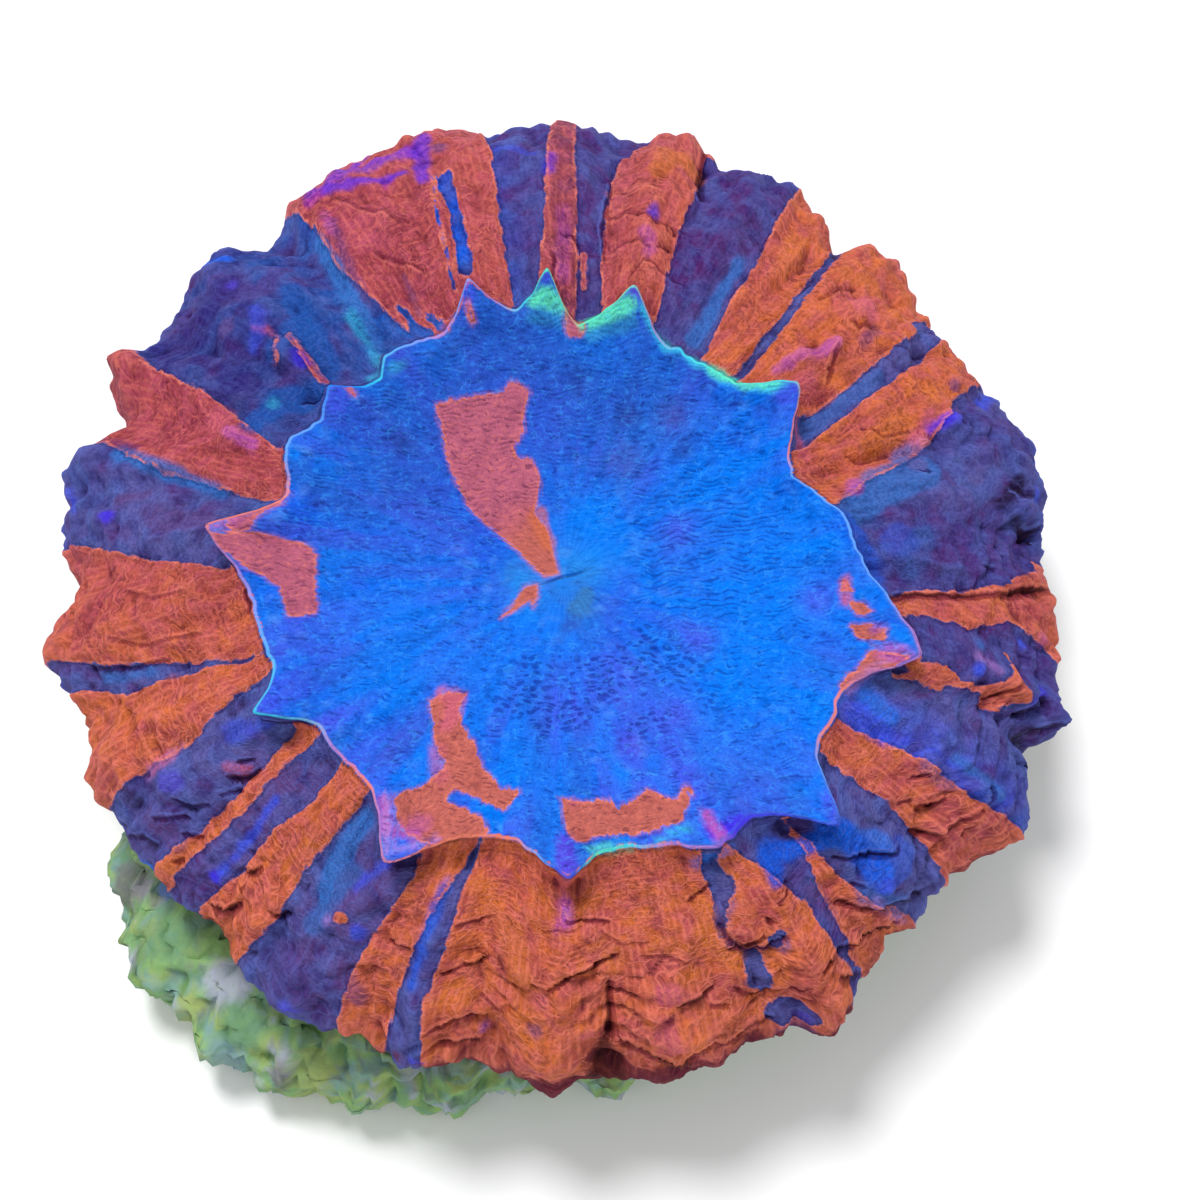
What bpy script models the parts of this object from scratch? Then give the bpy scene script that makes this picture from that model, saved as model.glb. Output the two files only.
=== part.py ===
"""A doughnut coral: one large fleshy polyp sitting on its own stony skeleton.

The flesh is a dished disc with the mouth in its middle, a raised crest drawn out
into horns, and a lobed mantle that slopes from the crest down over the skeleton.
The skeleton is a ribbed stony drum. It was cut off flat where it grew on rock, and
an encrusted ledge stands out past the flesh on one side.
"""

import math

import bmesh
import bpy
from mathutils import Vector, noise

MM = 0.001

# Driving dimensions
FLESH_RADIUS = 56 * MM  # mean reach of the flesh from the mouth
HEIGHT = 40 * MM  # foot to the tips of the horns
MOUTH_HEIGHT = 29 * MM
MOUTH_DIMPLE = 1.2 * MM  # how far the mouth sinks below the disc
CREST_HEIGHT = 36 * MM  # the crest between its horns
SHOULDER_HEIGHT = 34.2 * MM  # the mantle just behind the crest
RIM_HEIGHT = 20.5 * MM  # widest line of the mantle
RIM_DROOP = 1.2 * MM  # how far a lobe's rim hangs below a crease's
RIM_TUCK = 3.8 * MM  # how far the rim rolls in under the flesh
RIM_DROP = 6.1 * MM  # widest line down to the underside of the rim
LOBE_SWELL = 1.2 * MM  # how far each lobe stands above its creases
SKELETON_TOP = 21.9 * MM
SKELETON_RADIUS = 45 * MM
WALL_RADIUS = 44.6 * MM  # the wall between its ribs and its grooves
INNER_RADIUS = 24 * MM  # a ring that divides the flat faces
RIB_DEPTH = 0.7 * MM
KNOB_DEPTH = 1.4 * MM  # lumps on the ledge
KNOB_SIZE = 7 * MM
LEDGE_HEIGHT = 9 * MM  # upper edge of the encrusted ledge
FIT_GAP = 0.3 * MM  # between the flesh and the top of the skeleton
SEAT_RADIUS = 46.4 * MM  # recess under the flesh, clear of the ribs
SEAT_HEIGHT = SKELETON_TOP + FIT_GAP
SEAT_EDGE = 15.4 * MM  # height of the recess's lower edge

HUNDREDTH = FLESH_RADIUS / 100

# The crest, anticlockwise from +X: bearing in degrees, reach in hundredths of the
# flesh's radius, height in hundredths of the whole height, and 1 for a sharp horn.
CREST = (
    (5, 55, 90, 0), (21, 47, 89, 0), (36.5, 56, 97, 1), (50, 48, 90, 0), (64, 48, 90, 0),
    (76, 55, 98, 1), (87, 48, 90, 0), (93.5, 57, 99, 1), (101, 52, 91, 0), (109, 58, 98, 1),
    (118, 52, 90, 0), (130, 54, 91, 0), (135, 51, 89, 0), (143.5, 57, 93, 1), (150, 55, 90, 0),
    (157, 58, 91, 0), (167, 55, 90, 0), (177, 68, 97, 1), (190, 60, 90, 0), (202, 59, 90, 0),
    (210.5, 66, 97, 1), (217, 58, 90, 0), (230, 58, 89, 0), (242.5, 70, 97, 1),
    (258, 57, 90, 0), (271, 65, 98, 1), (281, 59, 90, 0), (296, 66, 96, 1), (304, 63, 91, 0),
    (312.5, 75, 97, 1), (322, 61, 89, 0), (332, 59, 89, 0), (341.5, 71, 97, 1),
)  # fmt: skip

# The scalloped rim: bearing in degrees and reach in hundredths of the flesh's radius.
RIM = (
    (3, 96), (15, 102.5), (21, 102), (28, 98.5), (41, 97.5), (50, 102.5), (54, 96), (57, 101),
    (64, 106.5), (71, 103.5), (77, 109), (82, 105.5), (91, 110), (99, 109), (105, 111),
    (114, 109), (123, 107.5), (127, 100), (135, 108.5), (146, 103), (151, 108), (158, 98),
    (165, 108), (169, 104), (179, 99), (186, 103.5), (198, 98), (201, 101), (207, 99),
    (218, 97.5), (225, 94), (231, 98), (238, 99), (248, 95.5), (252, 100), (260, 92),
    (269, 98), (276, 95.5), (285, 97.5), (297, 95.5), (301, 102.5), (309, 93.5), (322, 93.5),
    (333, 102), (340, 95.5), (345, 102.5), (350, 98), (355, 98.5),
)  # fmt: skip

# Bearings of the creases between the mantle's lobes.
CREASES = (
    8, 20, 34, 51, 62, 73, 83, 91, 107, 129, 153, 166, 178, 196, 216, 233, 246,
    255, 272, 294, 303, 313, 327, 344, 357,
)  # fmt: skip

# Reach of the stony ledge in hundredths of the flesh's radius, by bearing.
LEDGE = (
    (20, 86), (90, 88), (160, 87), (192, 90), (201, 94), (210, 107), (214, 107), (219, 113),
    (227, 110), (230, 113), (234, 110), (238, 110), (242, 106), (246, 106), (250, 102),
    (257, 101), (261, 95), (270, 91), (276, 95), (280, 91), (300, 89), (330, 86),
)  # fmt: skip

MEAN_CREST = 58 * HUNDREDTH
VALLEYS = tuple(row for row in CREST if not row[3])

DISC_SHARES = (0.07, 0.15, 0.26, 0.38, 0.5, 0.62, 0.74, 0.85, 0.94, 1.0)
MANTLE_SHARES = (0.03, 0.07, 0.13, 0.24, 0.36, 0.48, 0.6, 0.72, 0.83, 0.92, 0.98, 1.0)
RIM_TURNS = (35, 65, 90)  # degrees round the rolled rim
CURL = 0.13  # share of the mantle that curls back under the horns
CREASE_SPAN = 16  # degrees between creases at which a lobe swells fully
FLESH_STEPS = 120
SKELETON_STEPS = 84


def around(table, bearing, column):
    """A value of a closed table at any bearing, smooth except at its sharp horns."""
    last = len(table) - 1
    bearing = bearing % 360
    after = next((i for i, row in enumerate(table) if row[0] > bearing), 0)
    before = after - 1 if after else last
    start, end = table[before], table[after]
    span = (end[0] - start[0]) % 360
    share = ((bearing - start[0]) % 360) / span
    if len(start) > 3 and start[3]:
        blend = 1 - (1 - share) ** 2
    elif len(end) > 3 and end[3]:
        blend = share**2
    else:
        blend = share * share * (3 - 2 * share)
    return start[column] + (end[column] - start[column]) * blend


def swelling(bearing):
    """0 in a crease of the mantle and up to 1 on the lobe between two creases."""
    after = next((i for i, crease in enumerate(CREASES) if crease > bearing % 360), 0)
    start, end = CREASES[after - 1], CREASES[after]
    span = (end - start) % 360
    share = ((bearing - start) % 360) / span
    return math.sin(math.pi * share) ** 0.6 * min(1, span / CREASE_SPAN)


def polar(bearing, reach, height):
    angle = math.radians(bearing)
    return Vector((reach * math.cos(angle), reach * math.sin(angle), height))


def crest(bearing):
    """Reach and height of the crest, and how far its horns stand out."""
    reach = around(CREST, bearing, 1) * HUNDREDTH
    height = around(CREST, bearing, 2) * HEIGHT / 100
    horn = max(0, reach - around(VALLEYS, bearing, 1) * HUNDREDTH)
    return reach, height, horn


def disc_point(bearing, share):
    """Dished oral disc: rises from the mouth to the crest and its horns."""
    crest_reach, crest_height, _ = crest(bearing)
    reach = share * (MEAN_CREST + (crest_reach - MEAN_CREST) * share**2)
    height = MOUTH_HEIGHT + (CREST_HEIGHT - MOUTH_HEIGHT) * share**1.7
    height += (crest_height - CREST_HEIGHT) * share**6
    return polar(bearing, reach, height)


def mantle_point(bearing, share):
    """Mantle: curls in under each horn, then swells out and down to the rim."""
    crest_reach, crest_height, horn = crest(bearing)
    rim_reach = around(RIM, bearing, 1) * HUNDREDTH
    curl = max(0, 1 - share / CURL) ** 1.6
    swell = swelling(bearing)
    root = crest_reach - horn / 2
    reach = root + (rim_reach - root) * share + horn / 2 * curl
    height = RIM_HEIGHT + (SHOULDER_HEIGHT - RIM_HEIGHT) * (1 - share**2.4) ** 0.72
    height += (crest_height - SHOULDER_HEIGHT) * curl
    height += LOBE_SWELL * swell * math.sin(math.pi * share) ** 0.6
    height += RIM_DROOP * (0.5 - swell) * share**4
    return polar(bearing, reach, height)


def rim_point(bearing, turn):
    """Rolled rim: from the widest line in and down, turn in degrees."""
    angle = math.radians(turn)
    reach = around(RIM, bearing, 1) * HUNDREDTH - RIM_TUCK * (1 - math.cos(angle))
    height = RIM_HEIGHT + RIM_DROOP * (0.5 - swelling(bearing)) - RIM_DROP * math.sin(angle)
    return polar(bearing, reach, height)


def ring_point(bearing, place):
    """A plain round ring of one reach and height."""
    reach, height = place
    return polar(bearing, reach, height)


def skeleton_point(bearing, place):
    """Ribbed stony wall; its lower part runs out into the ledge on one side."""
    reach, height, spread, ribbed = place
    ledge = around(LEDGE, bearing, 1) * HUNDREDTH
    reach += (ledge - SKELETON_RADIUS) * spread
    rib = math.cos(math.radians(bearing) * SKELETON_STEPS / 2)
    reach += RIB_DEPTH * rib * ribbed
    knob = noise.noise(polar(bearing, reach, height) / KNOB_SIZE)
    reach += KNOB_DEPTH * knob * spread
    return polar(bearing, reach, height)


def turned(name, rings, steps, colour, roughness):
    """Spin a line of points into a closed body, then set every ring to its shape."""
    shape = bmesh.new()
    ring_of = shape.verts.layers.int.new("ring")
    line = []
    for number, (place_point, place) in enumerate(rings):
        vertex = shape.verts.new(Vector((1, 0, -number)) if place_point else (0, 0, -number))
        vertex[ring_of] = number
        line.append(vertex)
    edges = [shape.edges.new(pair) for pair in zip(line, line[1:])]
    bmesh.ops.spin(
        shape, geom=line + edges, axis=(0, 0, 1), cent=(0, 0, 0), steps=steps,
        angle=math.tau, use_merge=True,
    )  # fmt: skip
    bmesh.ops.remove_doubles(shape, verts=shape.verts, dist=0.001)
    for vertex in shape.verts:
        place_point, place = rings[round(-vertex.co.z)]
        if place_point:
            bearing = math.degrees(math.atan2(vertex.co.y, vertex.co.x))
            vertex.co = place_point(bearing, place)
        else:
            vertex.co = Vector((0, 0, place))
    bmesh.ops.recalc_face_normals(shape, faces=shape.faces)
    mesh = bpy.data.meshes.new(name)
    shape.to_mesh(mesh)
    shape.free()
    mesh.shade_smooth()
    mesh.materials.append(plain_material(name, colour, roughness))
    body = bpy.data.objects.new(name, mesh)
    bpy.context.scene.collection.objects.link(body)
    return body


def plain_material(name, colour, roughness):
    material = bpy.data.materials.new(name)
    material.use_nodes = True
    shader = material.node_tree.nodes["Principled BSDF"]
    shader.inputs["Base Color"].default_value = (*colour, 1)
    shader.inputs["Roughness"].default_value = roughness
    shader.inputs["Metallic"].default_value = 0
    return material


def make_polyp():
    """The whole flesh in one body, from the mouth out, round the rim and under."""
    rings = [(None, MOUTH_HEIGHT - MOUTH_DIMPLE)]
    rings += [(disc_point, share) for share in DISC_SHARES]
    rings += [(mantle_point, share) for share in MANTLE_SHARES]
    rings += [(rim_point, turn) for turn in RIM_TURNS]
    rings += [(ring_point, (SEAT_RADIUS, SEAT_EDGE)), (ring_point, (SEAT_RADIUS, SEAT_HEIGHT))]
    rings += [(ring_point, (INNER_RADIUS, SEAT_HEIGHT)), (None, SEAT_HEIGHT)]
    return turned("polyp", rings, FLESH_STEPS, (0.22, 0.1, 0.3), 0.45)


def make_skeleton():
    """Stony drum with ribs, its encrusted ledge and the flat cut it rests on."""
    # reach, height, share of the ledge's spread and share of the ribs' depth
    places = (
        (INNER_RADIUS, SKELETON_TOP, 0, 0),
        (WALL_RADIUS - 0.8 * MM, SKELETON_TOP, 0, 0.3),
        (WALL_RADIUS, SKELETON_TOP - 1 * MM, 0, 0.5),
        (WALL_RADIUS, LEDGE_HEIGHT + 5.5 * MM, 0, 0.5),
        (WALL_RADIUS, LEDGE_HEIGHT + 3.2 * MM, 0.25, 1),
        (WALL_RADIUS, LEDGE_HEIGHT + 1 * MM, 0.75, 1),
        (WALL_RADIUS, LEDGE_HEIGHT - 0.8 * MM, 0.97, 1),
        (WALL_RADIUS, LEDGE_HEIGHT - 4 * MM, 1, 1),
        (WALL_RADIUS - 0.4 * MM, 1.2 * MM, 0.95, 0.8),
        (WALL_RADIUS - 1.2 * MM, 0, 0.9, 0.6),
    )
    rings = [(None, SKELETON_TOP)]
    rings += [(skeleton_point, place) for place in places]
    rings += [(ring_point, (INNER_RADIUS, 0)), (None, 0)]
    return turned("skeleton", rings, SKELETON_STEPS, (0.2, 0.26, 0.14), 0.85)


def main():
    for old in list(bpy.data.objects):
        bpy.data.objects.remove(old, do_unlink=True)
    make_polyp()
    make_skeleton()


main()
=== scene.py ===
import math

import bmesh
import bpy
import numpy as np
from bpy.props import FloatProperty, FloatVectorProperty, PointerProperty
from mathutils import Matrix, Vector, noise


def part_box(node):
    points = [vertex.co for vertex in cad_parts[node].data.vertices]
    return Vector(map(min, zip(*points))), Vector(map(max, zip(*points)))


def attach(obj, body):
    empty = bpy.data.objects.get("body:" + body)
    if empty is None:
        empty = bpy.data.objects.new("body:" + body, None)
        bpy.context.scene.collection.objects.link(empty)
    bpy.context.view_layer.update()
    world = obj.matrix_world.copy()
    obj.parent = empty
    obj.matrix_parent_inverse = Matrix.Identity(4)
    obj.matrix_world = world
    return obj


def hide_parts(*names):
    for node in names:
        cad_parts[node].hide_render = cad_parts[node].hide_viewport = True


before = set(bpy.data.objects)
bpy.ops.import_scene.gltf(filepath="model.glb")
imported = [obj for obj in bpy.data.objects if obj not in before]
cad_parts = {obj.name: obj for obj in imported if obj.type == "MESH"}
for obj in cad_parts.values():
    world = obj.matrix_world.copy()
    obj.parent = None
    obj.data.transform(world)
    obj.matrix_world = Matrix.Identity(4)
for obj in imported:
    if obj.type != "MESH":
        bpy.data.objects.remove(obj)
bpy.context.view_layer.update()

bl_info = {
    "name": "Doughnut coral",
    "version": (1, 0, 0),
    "blender": (4, 5, 0),
    "location": "View3D > Sidebar > Coral",
    "description": "A fleshy round coral polyp on its encrusted skeleton",
    "category": "Add Mesh",
}

MM = 0.001
FLESH_LOW, FLESH_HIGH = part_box("polyp")
STONE_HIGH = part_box("skeleton")[1]

# ---------------------------------------------------------------- shape tables
# Bearings are degrees anticlockwise from +X about the mouth. A station tells how far
# along the skin a place is: 0 the mouth, 1 the crest, 2 the rim, 3 under the middle.

# The crest: bearing, reach in hundredths of the flesh's radius, height in hundredths
# of the whole height, and 1 for a sharp horn.
CREST = (
    (5, 55, 90, 0), (21, 47, 89, 0), (36.5, 56, 97, 1), (50, 48, 90, 0), (64, 48, 90, 0),
    (76, 55, 98, 1), (87, 48, 90, 0), (93.5, 57, 99, 1), (101, 52, 91, 0), (109, 58, 98, 1),
    (118, 52, 90, 0), (130, 54, 91, 0), (135, 51, 89, 0), (143.5, 57, 93, 1), (150, 55, 90, 0),
    (157, 58, 91, 0), (167, 55, 90, 0), (177, 68, 97, 1), (190, 60, 90, 0), (202, 59, 90, 0),
    (210.5, 66, 97, 1), (217, 58, 90, 0), (230, 58, 89, 0), (242.5, 70, 97, 1),
    (258, 57, 90, 0), (271, 65, 98, 1), (281, 59, 90, 0), (296, 66, 96, 1), (304, 63, 91, 0),
    (312.5, 75, 97, 1), (322, 61, 89, 0), (332, 59, 89, 0), (341.5, 71, 97, 1),
)  # fmt: skip

# The rim: bearing, and reach in hundredths of the flesh's radius.
RIM = (
    (3, 96), (15, 102.5), (21, 102), (28, 98.5), (41, 97.5), (50, 102.5), (54, 96), (57, 101),
    (64, 106.5), (71, 103.5), (77, 109), (82, 105.5), (91, 110), (99, 109), (105, 111),
    (114, 109), (123, 107.5), (127, 100), (135, 108.5), (146, 103), (151, 108), (158, 98),
    (165, 108), (169, 104), (179, 99), (186, 103.5), (198, 98), (201, 101), (207, 99),
    (218, 97.5), (225, 94), (231, 98), (238, 99), (248, 95.5), (252, 100), (260, 92),
    (269, 98), (276, 95.5), (285, 97.5), (297, 95.5), (301, 102.5), (309, 93.5), (322, 93.5),
    (333, 102), (340, 95.5), (345, 102.5), (350, 98), (355, 98.5),
)  # fmt: skip

# Bearings of the creases between the mantle's lobes.
CREASES = (
    8, 20, 34, 51, 62, 73, 83, 91, 107, 129, 153, 166, 178, 196, 216, 233, 246,
    255, 272, 294, 303, 313, 327, 344, 357,
)  # fmt: skip

# Reach of the stony ledge in hundredths of the flesh's radius, by bearing.
LEDGE = (
    (20, 86), (90, 88), (160, 87), (192, 90), (201, 94), (210, 107), (214, 107), (219, 113),
    (227, 110), (230, 113), (234, 110), (238, 110), (242, 106), (246, 106), (250, 102),
    (257, 101), (261, 95), (270, 91), (276, 95), (280, 91), (300, 89), (330, 86),
)  # fmt: skip

# Where the mantle changes from blue to orange and back, anticlockwise: the bearing of
# each border a share of 0, 1/4, 1/2, 3/4 and 1 of the way from the crest to the rim.
# The first sector is blue, and they take turns.
BORDERS = (
    (-9, -5, -3.5, -1, 4), (11, 16, 19, 26, 29), (25.5, 28.5, 31, 33, 36.5), (32, 33, 35, 36.5, 38.5),
    (47, 48.5, 50, 51.5, 53), (49, 50.5, 51.5, 52.5, 54), (56.5, 59, 59.5, 61, 62),
    (70, 71.5, 72.5, 72.5, 73.5), (81.5, 83.5, 84, 83.5, 79.5), (87.5, 88, 88.5, 89, 89),
    (96, 94, 93, 92.5, 91.5), (101, 100.5, 100, 99.5, 100), (122, 124.5, 125.5, 124, 124.5),
    (159, 155.5, 152.5, 151.5, 148.5), (168.5, 167.5, 166, 163, 161), (183, 180.5, 179, 176.5, 173.5),
    (199.5, 197, 194.5, 191.5, 187), (200, 198, 197, 196, 191), (203, 204.5, 207.5, 206.5, 205.5),
    (214, 216, 217, 216.5, 215), (218.5, 218.5, 219.5, 218.5, 217.5), (225, 226, 224.5, 224.5, 222),
    (232.5, 232, 231.5, 232, 229.5), (246, 246, 244.5, 243.5, 243.5), (255, 251.5, 250, 249.5, 249.5),
    (255.5, 254, 254, 253, 254), (297, 302, 304, 304.5, 304.5), (308, 308, 306.5, 306.5, 307),
    (308.5, 309.5, 309.5, 311.5, 316), (320.5, 321, 322, 322, 321.5), (327, 329, 330, 330, 332),
    (348.5, 350.5, 350.5, 354, 352),
)  # fmt: skip

# Crisp orange patches on the disc, as closed outlines of (bearing, station).
DISC_OUTLINES = (
    ((128, 0.75), (116, 0.71), (110, 0.66), (105, 0.71), (101, 0.67), (105, 0.58), (105, 0.53),
     (112, 0.48), (113, 0.45), (105, 0.42), (105, 0.33), (115, 0.24), (110, 0.16), (168, 0.02),
     (186, 0.07), (148, 0.25), (146, 0.38), (138, 0.54), (131, 0.65)),
    ((201, 0.1), (221, 0.12), (229, 0.16), (219, 0.15), (217, 0.27), (212, 0.2), (197, 0.14)),
    ((227, 0.65), (229, 0.59), (234, 0.54), (235, 0.59), (239, 0.62), (247, 0.68), (250, 0.74),
     (256, 0.82), (260, 0.82), (258, 0.9), (250, 0.84), (246, 0.8), (246, 0.84), (254, 0.94),
     (256, 0.98), (254, 1.03), (248, 1.03), (242, 0.93), (237, 0.94), (240, 0.83), (242, 0.72),
     (237, 0.73)),
    ((269, 0.77), (274, 0.8), (280, 0.83), (281, 0.86), (286, 0.84), (289, 0.81), (293, 0.85),
     (297, 0.81), (297, 0.84), (292, 0.92), (286, 0.96), (278, 0.95), (273, 0.92), (271, 0.87)),
    ((178, 1.0), (176, 0.88), (177, 0.77), (179, 0.76), (193, 0.82), (193, 0.91), (187, 0.91),
     (182, 0.98), (180, 1.02)),
    ((175, 1.05), (168, 1.05), (169, 0.98), (174, 0.96), (176, 0.92), (177, 0.96)),
    ((333, 0.98), (337, 0.96), (341, 0.9), (341, 0.98), (339, 1.02), (334, 1.05), (332, 1.05),
     (332, 1.01)),
    ((345, 0.86), (346, 0.91), (345, 0.95), (343, 0.93), (343, 0.87)),
    ((350, 0.89), (350, 0.92), (348, 0.94), (347, 0.92), (347, 0.89)),
    ((355, 0.91), (355, 0.93), (352, 0.91), (352, 0.88)),
)  # fmt: skip

# An orange patch of the mantle, as a closed outline.
MANTLE_OUTLINES = (
    ((339, 1.09), (341, 1.02), (343.5, 1.08), (344, 1.19), (343, 1.2), (344, 1.34), (342.5, 1.44),
     (343, 1.53), (345, 1.64), (347, 1.68), (345, 1.74), (344.5, 1.8), (341, 1.71), (341, 1.64),
     (342.5, 1.6), (342, 1.49), (341, 1.39), (339.5, 1.38), (340, 1.24)),
)  # fmt: skip

# More crisp patches: orange ones on blue, then blue ones on orange. Each is a line of
# places (bearing, station, half width in millimetres).
ORANGE_PATCHES = (
    ((87.5, 0.98, 1.1), (89, 1.0, 0.7)), ((110.8, 0.97, 0.4), (110.5, 0.9, 0.25)),
    ((112, 1.02, 0.4), (117, 1.01, 0.3)), ((140.8, 1.0, 0.3), (141.5, 0.95, 0.25)),
    ((86.8, 1.3, 0.35), (86.5, 1.17, 0.35)), ((143.7, 1.32, 0.2), (140.2, 1.4, 0.25)),
    ((139.2, 1.36, 0.3), (140, 1.26, 0.35), (141.7, 1.13, 0.5)), ((239.6, 1.51, 0.7),),
    ((74.5, 1.93, 1.1), (72.5, 1.97, 1.0)), ((303, 1.9, 1.6), (307, 1.92, 1.6), (310.5, 1.93, 1.0)),
    ((349, 1.7, 0.3), (346.2, 1.68, 0.3), (344, 1.66, 0.2)),
    ((3.5, 1.95, 0.7), (2.8, 2.0, 1.2), (359, 2.0, 1.6), (353, 1.96, 1.2)),
)  # fmt: skip
BLUE_PATCHES = (
    ((106.2, 1.64, 0.9), (106.4, 1.45, 0.7), (107.8, 1.2, 0.9)),
    ((107.5, 1.7, 0.2), (109, 1.45, 0.2), (111, 1.15, 0.25)),
    ((294.7, 1.0, 1.2), (293.8, 1.14, 0.9), (294.8, 1.24, 1.3), (292.8, 1.36, 0.7), (292, 1.5, 0.4)),
    ((299, 1.56, 0.7), (298, 1.6, 0.8)), ((294.8, 1.64, 0.8), (294.4, 1.79, 1.2)),
    ((296, 1.93, 1.9), (298.6, 1.97, 1.8)), ((305.3, 1.82, 0.4), (306, 1.95, 0.5)),
    ((38.3, 1.82, 0.8), (38, 1.95, 0.9)), ((113.5, 1.02, 0.5), (118, 1.1, 0.3)),
    ((117, 1.03, 0.6), (117.5, 1.14, 0.2)), ((121, 1.03, 1.1), (121.5, 1.2, 0.3)),
    ((286, 0.97, 0.3), (276, 0.96, 0.35)), ((352, 1.0, 0.7), (356, 1.2, 0.2)),
)  # fmt: skip

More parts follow.
